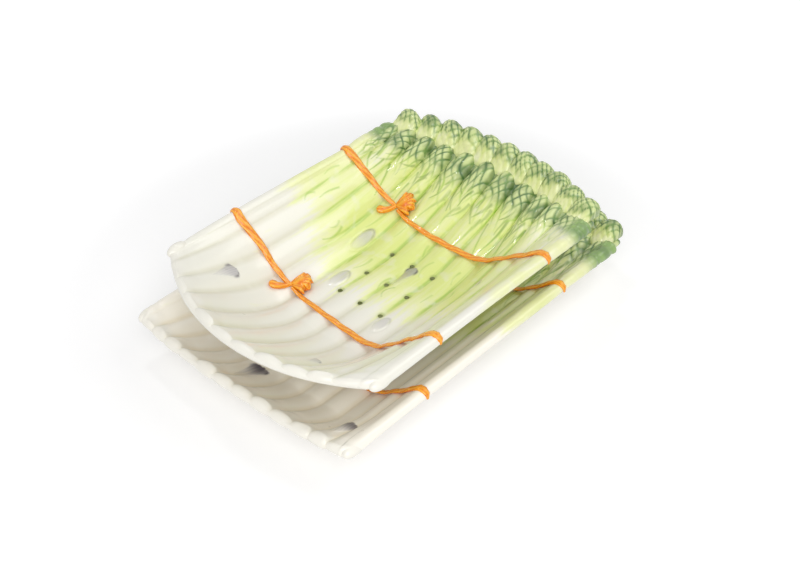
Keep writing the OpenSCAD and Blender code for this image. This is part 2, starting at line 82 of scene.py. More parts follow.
def ramp(value: Array, places: Sequence[float], levels: Sequence[float]) -> Array:
    """A smooth curve through given levels, which stays level past both ends.

    Args:
        value: where it is wanted.
        places: the places of the levels, rising.
        levels: the levels.

    Returns:
        The curve at each value.
    """
    value = np.clip(value, places[0], places[-1])
    i = np.clip(np.searchsorted(places, value, side="right") - 1, 0, len(places) - 2)
    x, y = np.asarray(places, float), np.asarray(levels, float)
    slope = np.gradient(y, x)
    h = x[i + 1] - x[i]
    t = (value - x[i]) / h
    return ((2 * t**3 - 3 * t**2 + 1) * y[i] + (t**3 - 2 * t**2 + t) * h * slope[i]
            + (-2 * t**3 + 3 * t**2) * y[i + 1] + (t**3 - t**2) * h * slope[i + 1])


def ripple(seed: int, *coords: Array) -> Array:
    """A smooth hand-made unevenness between about -1 and 1.

    Args:
        seed: picks the pattern.
        coords: one array for each direction, in lengths of the unevenness.

    Returns:
        The unevenness at each point.
    """
    rng = np.random.default_rng(seed)
    total = np.zeros(np.broadcast(*coords).shape)
    for _ in range(6):
        phase = rng.uniform(0, 2 * np.pi)
        for c in coords:
            phase = phase + c * rng.uniform(-2.2, 2.2)
        total = total + np.sin(phase)
    return total / 3.2


def scattered(numbers: Array, seed: int) -> Array:
    """A number between -1 and 1 for each whole number, in no order but always the same."""
    return np.modf(np.sin(numbers * 12.9898 + seed) * 43758.5453)[0]


def unit(vectors: Array) -> Array:
    """The same directions with length 1."""
    return vectors / np.maximum(np.linalg.norm(vectors, axis=-1, keepdims=True), 1e-12)


def blot(across: Array, along: Array, radius: float) -> Array:
    """Strength of a soft oval blot of glaze at distances from its middle."""
    return np.exp(-((np.hypot(across, along * 0.8) / radius) ** 4))


# The form of a dish, by the length s across it and the place y along it

@dataclass(frozen=True)
class DishForm:
    """Sizes of one dish, in metres and radians, and the surface that they give."""

    half_w: float
    depth: float
    wall_angle: float
    bend_r: float
    floor_z: float
    front: float
    front_bow: float
    front_run: float
    front_skew: float
    back: float
    back_bow: float
    back_run: float
    stalks: int
    shift: float
    clay_t: float = 5 * MM
    corner_r: float = 9 * MM

    @property
    def rim_r(self) -> float:
        """Radius of the rounded rims and lips."""
        return self.clay_t / 2

    @property
    def wall_len(self) -> float:
        """Length of a side wall's straight part."""
        return (self.depth - self.bend_r * (1 - math.cos(self.wall_angle))) / math.sin(self.wall_angle)

    @property
    def bend_len(self) -> float:
        """Length of the bend beside the floor."""
        return self.bend_r * self.wall_angle

    @property
    def floor_half(self) -> float:
        """Half width of the flat floor."""
        return (self.half_w - self.bend_r * math.sin(self.wall_angle)
                - self.wall_len * math.cos(self.wall_angle))

    @property
    def side_s(self) -> float:
        """Length across the surface from the middle to a side rim."""
        return self.floor_half + self.bend_len + self.wall_len

    def section(self, s: Array) -> tuple[Array, Array, Array]:
        """Follows the section of the dish out from the middle.

        Args:
            s: length across the surface.

        Returns:
            That length without its sign, the turn of the bend so far, and the length up the straight wall.
        """
        a = np.minimum(np.abs(s), self.side_s)
        turn = np.clip((a - self.floor_half) / self.bend_r, 0, self.wall_angle)
        return a, turn, np.maximum(a - self.floor_half - self.bend_len, 0)

    def side_x(self, s: Array) -> Array:
        """Distance of the surface from the middle line."""
        a, turn, wall = self.section(s)
        return np.sign(s) * (np.minimum(a, self.floor_half) + self.bend_r * np.sin(turn)
                             + wall * math.cos(self.wall_angle))

    def side_rise(self, s: Array) -> Array:
        """Rise of a side wall above the floor."""
        _, turn, wall = self.section(s)
        return self.bend_r * (1 - np.cos(turn)) + wall * math.sin(self.wall_angle)

    def rim_fall(self, s: Array) -> Array:
        """1 as far as a side rim, then down to 0 where the stalks' clay ends round it."""
        past = np.maximum(np.abs(s) - self.side_s, 0) / self.rim_r
        return np.cos(np.clip(past / RIM_WRAP, 0, 1) ** 2 * np.pi / 2)

    def front_y(self, x: Array) -> Array:
        """Place of the front edge at a distance x from the middle line."""
        return self.front_bow * (x / self.half_w) ** 2 + x * math.tan(self.front_skew) - self.front

    def back_y(self, x: Array) -> Array:
        """Place of the back edge at a distance x from the middle line."""
        return self.back - self.back_bow * (x / self.half_w) ** 2

    def length_at(self, x: Array) -> Array:
        """Length of the dish at a distance x from the middle line."""
        return self.back_y(x) - self.front_y(x)

    def y_at(self, s: Array, v: Array) -> Array:
        """Place along the dish at the share v of its length."""
        x = self.side_x(s)
        return self.front_y(x) + v * self.length_at(x) + self.corner(s) * np.exp(-np.maximum(v - 0.01, 0) / 0.03)

    def corner(self, s: Array) -> Array:
        """How far the front edge stands back at the rounded front corners."""
        d = np.clip(np.abs(s) - (self.side_s + 1.5 * self.rim_r - self.corner_r), 0, 0.97 * self.corner_r)
        return self.corner_r - np.sqrt(self.corner_r**2 - d**2)

    def v_at(self, s: Array, y: Array) -> Array:
        """Share of the dish's length at the place y."""
        x = self.side_x(s)
        return (y - self.front_y(x)) / self.length_at(x)

    def s_at_x(self, x: Array) -> Array:
        """Turns a distance from the middle line into a length across the surface.

        Args:
            x: the distance.

        Returns:
            The length.
        """
        a = np.abs(x) - self.floor_half
        bend_w = self.bend_r * math.sin(self.wall_angle)
        on_bend = self.floor_half + self.bend_r * np.arcsin(np.clip(a / self.bend_r, 0, 1))
        on_wall = self.floor_half + self.bend_len + (a - bend_w) / math.cos(self.wall_angle)
        return np.sign(x) * np.where(a <= 0, np.abs(x), np.where(a < bend_w, on_bend, on_wall))

    def surface(self, s: Array, y: Array) -> Array:
        """Points of the upper surface.

        Args:
            s: length across the surface.
            y: place along the dish.

        Returns:
            The points, in the row frame.
        """
        s, y = np.broadcast_arrays(np.asarray(s, float), np.asarray(y, float))
        x = self.side_x(s)
        rise = np.maximum(np.maximum((self.front_y(x) + self.front_run - y) / self.front_run,
                                     (y - self.back_y(x) + self.back_run) / self.back_run), 0) ** 1.5
        z = self.floor_z + self.depth * (1 - (1 - self.side_rise(s) / self.depth) * (1 - rise))
        return np.stack([x, y, z], -1)

    def directions(self, s: Array, y: Array) -> tuple[Array, Array, Array]:
        """Directions of the surface, from points a small step apart.

        Args:
            s: length across the surface.
            y: place along the dish.

        Returns:
            The directions along s, along y and square to the surface.
        """
        e = 0.1 * MM
        s = np.clip(s, -self.side_s, self.side_s)
        low, high = np.clip(s - e, -self.side_s, self.side_s), np.clip(s + e, -self.side_s, self.side_s)
        along_s = unit(self.surface(high, y) - self.surface(low, y))
        along_y = unit(self.surface(s, y + e) - self.surface(s, y - e))
        return along_s, along_y, unit(np.cross(along_s, along_y))

    def place(self, s: Array, y: Array, h: Array) -> Array:
        """Points a height h above the surface. Past a side rim, s goes on round the rim.

        Args:
            s: length across the surface.
            y: place along the dish.
            h: height above the surface.

        Returns:
            The points, in the row frame.
        """
        s, y, h = np.broadcast_arrays(np.asarray(s, float), np.asarray(y, float), np.asarray(h, float))
        along_s, _, up = self.directions(s, y)
        inner = np.clip(s, -self.side_s, self.side_s)
        base = self.surface(inner, y) - self.rim_r * up
        angle = (np.maximum(np.abs(s) - self.side_s, 0) / self.rim_r)[..., None]
        out = along_s * np.sign(s)[..., None]
        return base + (self.rim_r + h[..., None]) * (np.cos(angle) * up + np.sin(angle) * out)

    def lip(self, s: Array, angle: Array, h: Array) -> Array:
        """Points a height h outside the front lip.

        Args:
            s: length across the surface.
            angle: angle round the lip from the upper surface.
            h: height outside it.

        Returns:
            The points, in the row frame.
        """
        s, angle, h = np.broadcast_arrays(np.asarray(s, float), np.asarray(angle, float), np.asarray(h, float))
        y = self.front_y(self.side_x(s)) + self.rim_r + self.corner(s)
        along_s, along_y, up = self.directions(s, y)
        base = self.surface(np.clip(s, -self.side_s, self.side_s), y) - self.rim_r * up
        turn = np.maximum(np.abs(s) - self.side_s, 0) / self.rim_r
        angle = np.minimum(angle, np.pi / 2 + 2 * (1 - smoothstep(0.0, 0.8, turn)))[..., None]
        turn = turn[..., None]
        side = np.cos(turn) * up + np.sin(turn) * along_s * np.sign(s)[..., None]
        return base + (self.rim_r + h[..., None]) * (np.cos(angle) * side - np.sin(angle) * along_y)

    def groove_s(self, k: int) -> float:
        """Place of a groove across the dish.

        Args:
            k: number of the groove, counted from 0 at the far rim.

        Returns:
            The length across the surface.
        """
        if k in (0, self.stalks):
            return self.side_s * (1 if k else -1)
        return 2 * self.side_s / self.stalks * (k - self.stalks / 2) - self.shift


TRAY_FORM = DishForm(
    half_w=98 * MM, depth=30 * MM, wall_angle=math.radians(38), bend_r=22 * MM, floor_z=8 * MM,
    front=162 * MM, front_bow=4 * MM, front_run=46 * MM, front_skew=math.radians(3),
    back=158.5 * MM, back_bow=9 * MM, back_run=60 * MM, stalks=12, shift=0.0)
DRAINER_FORM = DishForm(
    half_w=98 * MM, depth=45 * MM, wall_angle=math.radians(41), bend_r=30 * MM, floor_z=34.5 * MM,
    front=160 * MM, front_bow=31 * MM, front_run=76 * MM, front_skew=math.radians(1),
    back=131 * MM, back_bow=24 * MM, back_run=125 * MM, stalks=11, shift=8 * MM)


# Meshes

def shown(name: str, data: bpy.types.ID) -> bpy.types.Object:
    """Makes an object and puts it in the scene.

    Args:
        name: its name.
        data: its mesh, lamp or camera.

    Returns:
        The object.
    """
    made = bpy.data.objects.new(name, data)
    bpy.context.scene.collection.objects.link(made)
    return made


def store(mesh: bpy.types.Mesh, name: str, values: Array, kind: str = "FLOAT") -> None:
    """Stores values at the points of a mesh.

    Args:
        mesh: the mesh.
        name: the values' name.
        values: one number or vector for each point.
        kind: Blender's name for the kind of value.
    """
    attribute = mesh.attributes.get(name) or mesh.attributes.new(name, kind, "POINT")
    slot = "value" if kind == "FLOAT" else "vector"
    attribute.data.foreach_set(slot, np.ascontiguousarray(values, np.float32).ravel())


def worked_out(piece: bpy.types.Object) -> bpy.types.Mesh:
    """The mesh that a piece's modifiers give."""
    bpy.context.view_layer.update()
    return bpy.data.meshes.new_from_object(piece.evaluated_get(bpy.context.evaluated_depsgraph_get()))


@dataclass
class MeshData:
    """Points, faces and the values that the finishes read at each point."""

    points: Array
    faces: list[Face]
    values: dict[str, Array]
    uv: Array
    border: Array | None = None

    def to_object(self, name: str, material: bpy.types.Material) -> bpy.types.Object:
        """Makes a shown, smooth object, sharp only along its border.

        Args:
            name: the piece's name.
            material: its finish.

        Returns:
            The new object.
        """
        mesh = bpy.data.meshes.new(name)
        mesh.from_pydata(self.points.tolist(), [], self.faces)
        for key, value in self.values.items():
            store(mesh, key, value)
        layer = mesh.uv_layers.new(name="Lay")
        corner = np.empty(len(mesh.loops), np.int32)
        mesh.loops.foreach_get("vertex_index", corner)
        layer.data.foreach_set("uv", self.uv[corner].astype(np.float32).ravel())
        mesh.polygons.foreach_set("use_smooth", np.ones(len(mesh.polygons), bool))
        if self.border is not None:
            ends = np.empty(len(mesh.edges) * 2, np.int32)
            mesh.edges.foreach_get("vertices", ends)
            sharp = mesh.attributes.new("sharp_edge", "BOOLEAN", "EDGE")
            sharp.data.foreach_set("value", self.border[ends.reshape(-1, 2)].all(1))
        mesh.materials.append(material)
        mesh.validate()
        return shown(name, mesh)


def skin_mesh(top: Array, under: Array) -> tuple[Array, list[Face]]:
    """A closed thin body between a fine upper grid and the two side lines of its underside.

    Args:
        top: grid of points, rows by columns.
        under: rows by 2, the underside's points below the first and last column.

    Returns:
        All points, upper grid first, and the faces, which point outwards.
    """
    rows, cols = top.shape[:2]
    points = np.concatenate([top.reshape(-1, 3), under.reshape(-1, 3)])
    at = np.arange(rows * cols).reshape(rows, cols).tolist()
    low = np.arange(rows * cols, len(points)).reshape(rows, 2).tolist()
    faces: list[Face] = []
    for here, ahead, low_here, low_ahead in zip(at[:-1], at[1:], low[:-1], low[1:]):
        faces += zip(here[:-1], here[1:], ahead[1:], ahead[:-1])
        faces.append((low_here[0], low_ahead[0], low_ahead[1], low_here[1]))
        faces.append((ahead[0], low_ahead[0], low_here[0], here[0]))
        faces.append((here[-1], low_here[1], low_ahead[1], ahead[-1]))
    faces.append((*low[0], *at[0][::-1]))
    faces.append((*low[-1][::-1], *at[-1]))
    return points, faces


def ring_mesh(rings: Array) -> tuple[Array, list[Face]]:
    """A closed body through rings of points, with a face over each end.

    Args:
        rings: number of rings by points in a ring by 3, turning left round the way that they follow.

    Returns:
        The points and the faces.
    """
    n, m = rings.shape[:2]
    faces: list[Face] = []
    for r in range(n - 1):
        faces += [(r * m + c, r * m + (c + 1) % m, (r + 1) * m + (c + 1) % m, (r + 1) * m + c) for c in range(m)]
    faces.append(tuple(range(m - 1, -1, -1)))
    faces.append(tuple((n - 1) * m + c for c in range(m)))
    return rings.reshape(-1, 3), faces


def cleaned(piece: bpy.types.Object) -> bpy.types.Object:
    """Merges points that lie together and turns the faces outwards.

    Args:
        piece: a mesh object.

    Returns:
        The same object.
    """
    work = bmesh.new()
    work.from_mesh(piece.data)
    bmesh.ops.remove_doubles(work, verts=work.verts, dist=1e-6)
    bmesh.ops.recalc_face_normals(work, faces=work.faces)
    work.to_mesh(piece.data)
    work.free()
    return piece


# Painted and engraved decoration

class MarkKind(Enum):
    """Form of a painted bract mark."""

    LEAF = "leaf"
    OVAL = "oval"


@dataclass(frozen=True)
class BractMark:
    """One lilac-grey bract on a stalk: its place, size and strength."""

    x: float
    y: float
    length: float
    width: float
    kind: MarkKind
    strength: float
    dark_share: float = 0.25
    raised: float = 0.35 * MM
    furrow: float = 0.3 * MM

    def sample(self, form: DishForm, s: Array, y: Array) -> tuple[Array, Array, Array]:
        """Paint and relief of the mark at points of the dish.

        Args:
            form: the dish that carries it.
            s: length across the dish.
            y: place along the dish.

        Returns:
            Grey paint, dark rim paint and height.
        """
        p = (y - self.y) / self.length
        q = (s - form.s_at_x(self.x)) / self.width
        if self.kind is MarkKind.LEAF:
            half = 0.5 * ramp(p, (-0.5, -0.2, 0.1, 0.3, 0.42, 0.5), (0.02, 0.4, 0.8, 1.0, 0.8, 0.02))
            e = np.where(np.abs(p) < 0.5, np.abs(q) / half, 3.0)
            edge = np.exp(-((e - 0.92) / 0.2) ** 2) * smoothstep(0.12, 0.34, p)
            edge = np.maximum(edge, self.dark_share * smoothstep(-0.1, 0.4, p) * (1 - smoothstep(0.8, 1.1, e)))
        else:
            e = np.hypot(p, q) * 2
            edge = 0.6 * np.exp(-((e - 1) / 0.1) ** 2) * smoothstep(0.05, 0.42, p)
        fill = (1 - smoothstep(0.7, 1.06, e)) * (0.3 + 0.7 * smoothstep(-0.5, 0.25, p))
        streaks = 0.8 + 0.2 * np.sin(q * 40 + 3 * np.sin(p * 5))
        height = self.raised * (1 - smoothstep(0.75, 1.0, e)) - self.furrow * np.exp(-((e - 1.06) / 0.13) ** 2)
        return fill * streaks * self.strength, edge * self.strength, height


@dataclass(frozen=True)
class Stroke:
    """One painted brush stroke between two places of a dish, as [s, y] pairs."""

    start: tuple[float, float]
    end: tuple[float, float]
    width: float
    strength: float
    bend: float = 0.0

    def sample(self, s: Array, y: Array) -> Array:
        """Strength of the paint, which thins toward the stroke's end.

        Args:
            s: length across the dish.
            y: place along the dish.

        Returns:
            The strength at each point.
        """
        (s0, y0), (s1, y1) = self.start, self.end
        ds, dy = s1 - s0, y1 - y0
        span = math.hypot(ds, dy)
        t = np.clip(((s - s0) * ds + (y - y0) * dy) / span**2, 0, 1)
        bow = self.bend * 4 * t * (1 - t)
        cs, cy = s0 + t * ds - bow * dy / span, y0 + t * dy + bow * ds / span
        reach = self.width * (1 - 0.65 * t)
        return self.strength * np.exp(-(((s - cs) ** 2 + (y - cy) ** 2) / reach**2) ** 1.5)


@dataclass(frozen=True)
class Decoration:
    """The paint and fine relief of one dish, worked out at any point of it."""

    form: DishForm
    marks: tuple[BractMark, ...]
    strokes: tuple[Stroke, ...]
    seed: int
    cell_s: float = 7.4 * MM
    cell_y: float = 7.2 * MM
    grow: float = 36 * MM
    scale_relief: float = 1.1 * MM
    crest_relief: float = 0.12 * MM
    line_half: float = 0.11
    scales_from: float = 0.862
    green_from: float = 0.36
    green_to: float = 0.62
    near_pale: float = 0.0
    far_pale: float = 0.0
    pools: tuple[tuple[float, float], ...] = ()
    pool_r: float = 2.7 * MM

    def scales(self, s: Array, y: Array, head: float | None = None) -> tuple[Array, Array]:
        """Lattice of the head scales.

        Args:
            s: length across the dish.
            y: place along the dish.
            head: number that shifts the lattice, or None to give each stalk its own.

        Returns:
            Pillow height from 0 to 1, and the painted line between the scales.
        """
        pitch = 2 * self.form.side_s / self.form.stalks
        if head is None:
            head = np.floor((s + self.form.shift) / pitch + 0.5 * (self.form.stalks % 2) + 100)
        shift = scattered(head, self.seed)
        ws = s + 1.7 * MM * ripple(self.seed, s / (8 * MM), y / (10 * MM)) + 2 * MM * shift
        back = np.maximum(self.form.back_y(self.form.side_x(s)) - y, -24 * MM)
        wy = 2.2 * MM * ripple(self.seed + 1, s / (9 * MM), y / (8 * MM)) + 5 * MM * shift
        wy = wy - self.grow * np.log(1 + back / self.grow)
        a, b = ws / self.cell_s + wy / self.cell_y, ws / self.cell_s - wy / self.cell_y
        near_a, near_b = np.abs(a - np.round(a)), np.abs(b - np.round(b))
        pillow = np.sqrt(np.abs(np.sin(np.pi * a) * np.sin(np.pi * b)))
        fade_a = 0.6 + 0.7 * ripple(self.seed + 2, s / (5 * MM), y / (6 * MM))
        fade_b = 0.55 + 0.7 * ripple(self.seed + 3, s / (6 * MM), y / (5 * MM))
        line = np.maximum(np.exp(-((near_a / self.line_half) ** 2)) * np.clip(fade_a, 0, 1),
                          np.exp(-((near_b / self.line_half) ** 2)) * np.clip(fade_b, 0, 1))
        return pillow, line

    def wash(self, s: Array, v: Array, crest: Array, drift: Array) -> Array:
        """Strength of the green wash, which begins above the butts and is paler near the side rims.

        Args:
            s: length across the dish.
            v: share of the dish's length.
            crest: 0 in a groove, 1 on the crest of a stalk.
            drift: unevenness of its beginning.

        Returns:
            The strength.
        """
        side = self.form.side_s
        green = smoothstep(self.green_from, self.green_to, v + drift + 0.03 * (1 - crest))
        for pale, start, out in ((self.near_pale, 0.6, s), (self.far_pale, 0.55, -s)):
            green = green * (1 - pale * smoothstep(start * side, 0.8 * side, out))
        return green * (1 - 0.2 * smoothstep(0.64, 0.76, v))

    def brushwork(self, s: Array, y: Array) -> Array:
        """Strength of all the brush strokes.

        Args:
            s: length across the dish.
            y: place along the dish.

        Returns:
            The strength.
        """
        painted = np.zeros_like(s)
        for one in self.strokes:
            (_, y0), (_, y1) = one.start, one.end
            near = np.abs(y - (y0 + y1) / 2) < abs(y0 - y1) / 2 + 4 * one.width + abs(one.bend)
            if near.any():
                painted = np.where(near, np.maximum(painted, one.sample(s, y)), painted)
        return painted

    def sample(self, s: Array, y: Array, crest: Array) -> tuple[dict[str, Array], Array]:
        """Values for the finish and the fine relief at points of the dish.

        Args:
            s: length across the dish.
            y: place along the dish.
            crest: 0 in a groove, 1 on the crest of a stalk.

        Returns:
            The named values and the relief to add to the height.
        """
        v = self.form.v_at(s, y)
        drift = 0.05 * ripple(self.seed + 4, s / (26 * MM), y / (90 * MM))
        zone = smoothstep(self.scales_from - 0.03, self.scales_from + 0.03, v + 0.3 * drift)
        pillow, line = self.scales(s, y)
        # Dark green painted into the valleys between the heads: partly the heads' own outlines, partly painted shade
        # between them.
        valley_ink_and_shade = 0.7 * smoothstep(0.3, 0.6, 1 - crest) * smoothstep(0.86, 0.91, v) * (1 - smoothstep(0.95, 0.965, v))
        valley_ink_and_shade = valley_ink_and_shade * (0.6 + 0.4 * ripple(self.seed + 6, s / (5 * MM), y / (6 * MM)))
        line = np.maximum(line, valley_ink_and_shade)
        grey, dark, height = np.zeros_like(v), np.zeros_like(v), np.zeros_like(v)
        for mark in self.marks:
            g, d, h = mark.sample(self.form, s, y)
            grey, dark, height = np.maximum(grey, g), np.maximum(dark, d), height + h
        pool = np.zeros_like(v)
        for ps, py in self.pools:
            pool = np.maximum(pool, blot(s - ps, y - py - 0.6 * MM, self.pool_r))
        low = smoothstep(0.745, 0.86, v + 0.4 * drift)
        height = height + (0.3 * low + 0.7 * zone) * self.scale_relief * (pillow - 0.4)
        height = height + self.crest_relief * ripple(self.seed + 5, s / (9 * MM), y / (30 * MM)) * crest
        found = (v, self.wash(s, v, crest, drift), 1 - crest, zone, line * low, pillow, grey, dark,
                 self.brushwork(s, y), pool)
        return dict(zip(PAINT_VALUES, found)), height


def hand_strokes(form: DishForm, seed: int, bare: int = 0) -> tuple[Stroke, ...]:
    """Brush strokes that run down from the heads along the stalks, and short curved ones between.

    Args:
        form: the dish that carries them.
        seed: picks their unevenness.
        bare: how many stalks on the near side carry none.

    Returns:
        The strokes.
    """
    rng = np.random.default_rng(seed)
    made: list[Stroke] = []
    for k in range(1, form.stalks + 1 - bare):
        left, right = form.groove_s(k - 1), form.groove_s(k)
        middle, half = (left + right) / 2, (right - left) / 2
        long = 0.6 + 0.9 * k / form.stalks
        for side in (-1, 1):
            for start_v, run in ((0.88, 0.04), (0.86, 0.05 * long), (0.84, 0.06 * long), (0.81, 0.08 * long)):
                if rng.random() < 0.15:
                    continue
                s0 = middle + side * half * rng.uniform(0.35, 0.95)
                s1 = middle + side * half * rng.uniform(-0.35, 0.55)
                y0 = float(form.y_at(s0, start_v + rng.uniform(-0.01, 0.01)))
                y1 = y0 - run * rng.uniform(0.7, 1.4) * form.length_at(0.0)
                made.append(Stroke((s0, y0), (s1, y1), rng.uniform(1.0, 1.6) * MM, rng.uniform(0.5, 1.0),
                                   rng.uniform(-2.5, 2.5) * MM))
        for _ in range(2):
            s0 = middle + half * rng.uniform(-0.8, 0.8)
            y0 = float(form.y_at(s0, rng.uniform(0.5, 0.8)))
            made.append(Stroke((s0, y0), (s0 + rng.uniform(-3, 3) * MM, y0 - rng.uniform(9, 22) * MM),
                               rng.uniform(1.0, 1.5) * MM, rng.uniform(0.35, 0.7), rng.uniform(-4, 4) * MM))
    return tuple(made)


# Pieces of a dish

@dataclass
class DishBody:
    """A dish's slab with its rounded rims and lips."""

    form: DishForm
    name: str
    decoration: Decoration
    columns: int = 150
    rows: int = 150
    lip_rows: int = 7
    rim_points: int = 10

    def build(self, material: bpy.types.Material) -> bpy.types.Object:
        """Makes the closed slab.

        Args:
            material: its finish.

        Returns:
            The slab.
        """
        form, r = self.form, self.form.rim_r
        s_top = np.linspace(-form.side_s, form.side_s, self.columns)
        arc = np.linspace(0, np.pi, self.rim_points)[1:-1]
        s_loop = np.concatenate([s_top, form.side_s + r * arc, s_top[::-1], -form.side_s - r * arc[::-1]])
        below = np.concatenate([np.zeros(self.columns), np.full(len(arc), 0.5), np.ones(self.columns),
                                np.full(len(arc), 0.5)])
        turn = np.linspace(0, np.pi / 2, self.lip_rows)
        length = form.length_at(form.side_x(s_loop))
        inner = np.linspace(0, 1, self.rows)[1:-1]
        shares = [(-1, a) for a in turn] + [(0, v) for v in inner] + [(1, a) for a in turn[::-1]]
        rings = []
        for end, value in shares:
            half = r * math.sin(value) if end else r
            lip = r * (1 - math.cos(value))
            if end == 0:
                v = r / length + value * (1 - 2 * r / length)
            else:
                v = lip / length if end < 0 else 1 - lip / length
            y = form.y_at(s_loop, v)
            h = np.where(below == 1, -r - half, half - r)
            inner_s = np.clip(s_loop, -form.side_s, form.side_s)
            rings.append(np.where((below == 1)[:, None], form.place(inner_s, y, h), form.place(s_loop, y, h)))
        points, faces = ring_mesh(np.asarray(rings))
        y_all = points[:, 1]
        s_all = np.tile(s_loop, len(shares))
        values, _ = self.decoration.sample(np.clip(s_all, -form.side_s, form.side_s), y_all, np.zeros(len(s_all)))
        upper = np.tile(below < 1, len(shares)).astype(float)
        for key in ("zone", "line", "stroke", "grey", "dark", "pool"):
            values[key] = values[key] * upper
        values["green"] = values["green"] * (0.35 + 0.65 * upper)
        values["groove"] = values["groove"] * 0
        lay = np.stack([s_all, y_all], -1)
        return cleaned(MeshData(points, faces, values, lay).to_object(self.name, material))


@dataclass
class StalkRow:
    """The moulded stalks that lie side by side over a dish."""

    form: DishForm
    prefix: str
    decoration: Decoration
    knob_relief: float
    lip_wrap: float
    far_calm: float
    head_relief: float = 7 * MM
    skin: float = 0.3 * MM
    seat: float = 0.3 * MM
    tip_share: float = 0.962
    tip_len: float = 2 * MM
    lip_hold: float = 4.0
    lip_drop: float = 0.57
    lip_len: float = 6.5 * MM
    neck_at: float = 12 * MM
    neck_len: float = 4 * MM
    lump: float = 0.35 * MM
    corner_r: float = 4.7 * MM
    corner_len: float = 9.0 * MM
    corner_back: float = 8.0 * MM
    corner_up: float = 0.4 * MM
    corner_out: float = 0.7 * MM
    columns: int = 35
    rim_columns: int = 11
    lip_rows: int = 29
    seed: int = 5

    def rim_side(self, k: int) -> int:
        """-1 for the stalk on the far rim, 1 for the one on the near rim, 0 between."""
        return -1 if k == 1 else 1 if k == self.form.stalks else 0

    def crest(self, v: Array) -> Array:
        """Height of a stalk's crest.

        Args:
            v: share of the dish's length.

        Returns:
            The height.
        """
        low = ramp(v, (0, 0.006, 0.02, 0.045, 0.08, 0.13), (1.1, 1.25, 1.3, 1.22, 1.1, 1.0)) * STALK_RELIEF
        head = ramp(v, (0.70, 0.74, 0.81, 0.865, 0.905, 0.936, 0.958, 0.966),
                    (0.343, 0.35, 0.55, 0.82, 1.0, 0.92, 0.45, 0.02)) * self.head_relief
        return np.where(v < 0.4, low, head)

    def width_share(self, v: Array) -> Array:
        """Width of a head at the share v, as a share of the stalk's width."""
        return ramp(v, (0.74, 0.81, 0.865, 0.905, 0.936, 0.958, 0.966), (1, 1, 1, 0.97, 0.84, 0.52, 0.2))

    def share_rows(self) -> Array:
        """Shares of the dish's length, close together at both ends."""
        return np.unique(np.concatenate([
            np.linspace(0, 0.05, 22), np.linspace(0.05, 0.36, 88), np.linspace(0.36, 0.74, 110),
            np.linspace(0.74, self.tip_share, 104)]))

    def across(self, k: int) -> tuple[Array, Array]:
        """Columns of stalk k, which go on round a side rim.

        Args:
            k: number of the stalk.

        Returns:
            Places across the dish, and places from -1 to 1 over the stalk's width.
        """
        left, right = self.form.groove_s(k - 1), self.form.groove_s(k)
        u = np.linspace(-1, 1, self.columns)
        u = 0.6 * u + 0.4 * np.sin(u * np.pi / 2)
        s = (left + right) / 2 + u * (right - left) / 2
        wrap = self.form.rim_r * np.linspace(0, RIM_WRAP, self.rim_columns + 1)[1:]
        if self.rim_side(k) < 0:
            return np.concatenate([(left - wrap)[::-1], s]), np.concatenate([np.full(len(wrap), -1.0), u])
        if self.rim_side(k) > 0:
            return np.concatenate([s, right + wrap]), np.concatenate([u, np.full(len(wrap), 1.0)])
        return s, u

    def corner_knob(self, side: int, material: bpy.types.Material) -> bpy.types.Object:
        """A rounded knob that ends a rim stalk at the front corner.

        Args:
            side: -1 at the far rim, 1 at the near one.
            material: its finish.

        Returns:
            The knob, a closed body.
        """
        form = self.form
        s = side * form.side_s
        y = form.front_y(form.side_x(s)) + self.corner_back
        along_s, along_y, up = form.directions(s, y)
        out = along_s * side
        middle = form.surface(s, y) + (self.corner_up - form.rim_r) * up + self.corner_out * out
        t, g = np.meshgrid(np.linspace(0.02, np.pi - 0.02, 30), np.linspace(0, 2 * np.pi, 36, endpoint=False),
                           indexing="ij")
        radius = self.corner_r * (1 + 0.05 * ripple(self.seed + side, t * 1.5, np.sin(g))) * np.sin(t) ** 0.85
        rings = (middle - self.corner_len * np.cos(t)[..., None] * along_y
                 + radius[..., None] * (np.cos(g)[..., None] * up + np.sin(g)[..., None] * out))
        points, faces = ring_mesh(rings)
        values = {key: np.zeros(len(points)) for key in PAINT_VALUES}
        lay = np.stack([side * form.side_s + points[:, 2], points[:, 1]], -1)
        return cleaned(MeshData(points, faces, values, lay).to_object(f"{self.prefix}_corner_{side}", material))

    def arch(self, k: int, s: Array, u: Array, v: Array) -> tuple[Array, Array, Array]:
        """Section and crest of stalk k.

        Args:
            k: number of the stalk.
            s: length across the dish.
            u: place from -1 to 1 over the stalk's width.
            v: share of the dish's length.

        Returns:
            The rounded section from 0 to 1, the crest's height, and 1 where a rim stalk lies flat on its rim.
        """
        headed = smoothstep(0.72, 0.86, v)
        dome = np.clip(1 - np.abs(u / self.width_share(v)) ** (2.0 + 0.6 * headed), 0, 1) ** (1.35 - 0.5 * headed)
        crest = self.crest(v) * (1 + 0.06 * ripple(self.seed + k, v * 9, u))
        crest = crest * (1 - (1 - headed) * self.far_calm * max(0.0, 1 - (k - 1) / CALM_STALKS))
        flat = np.zeros_like(dome)
        side = self.rim_side(k)
        if side:
            flat = (u * side > 0) * smoothstep(0.0, 0.7, u * side)
            dome = np.maximum(dome, flat) * self.form.rim_fall(s)
            crest = np.minimum(crest, STALK_RELIEF * 1.3) + (RIM_RELIEF - STALK_RELIEF) * flat
        return dome, crest, flat

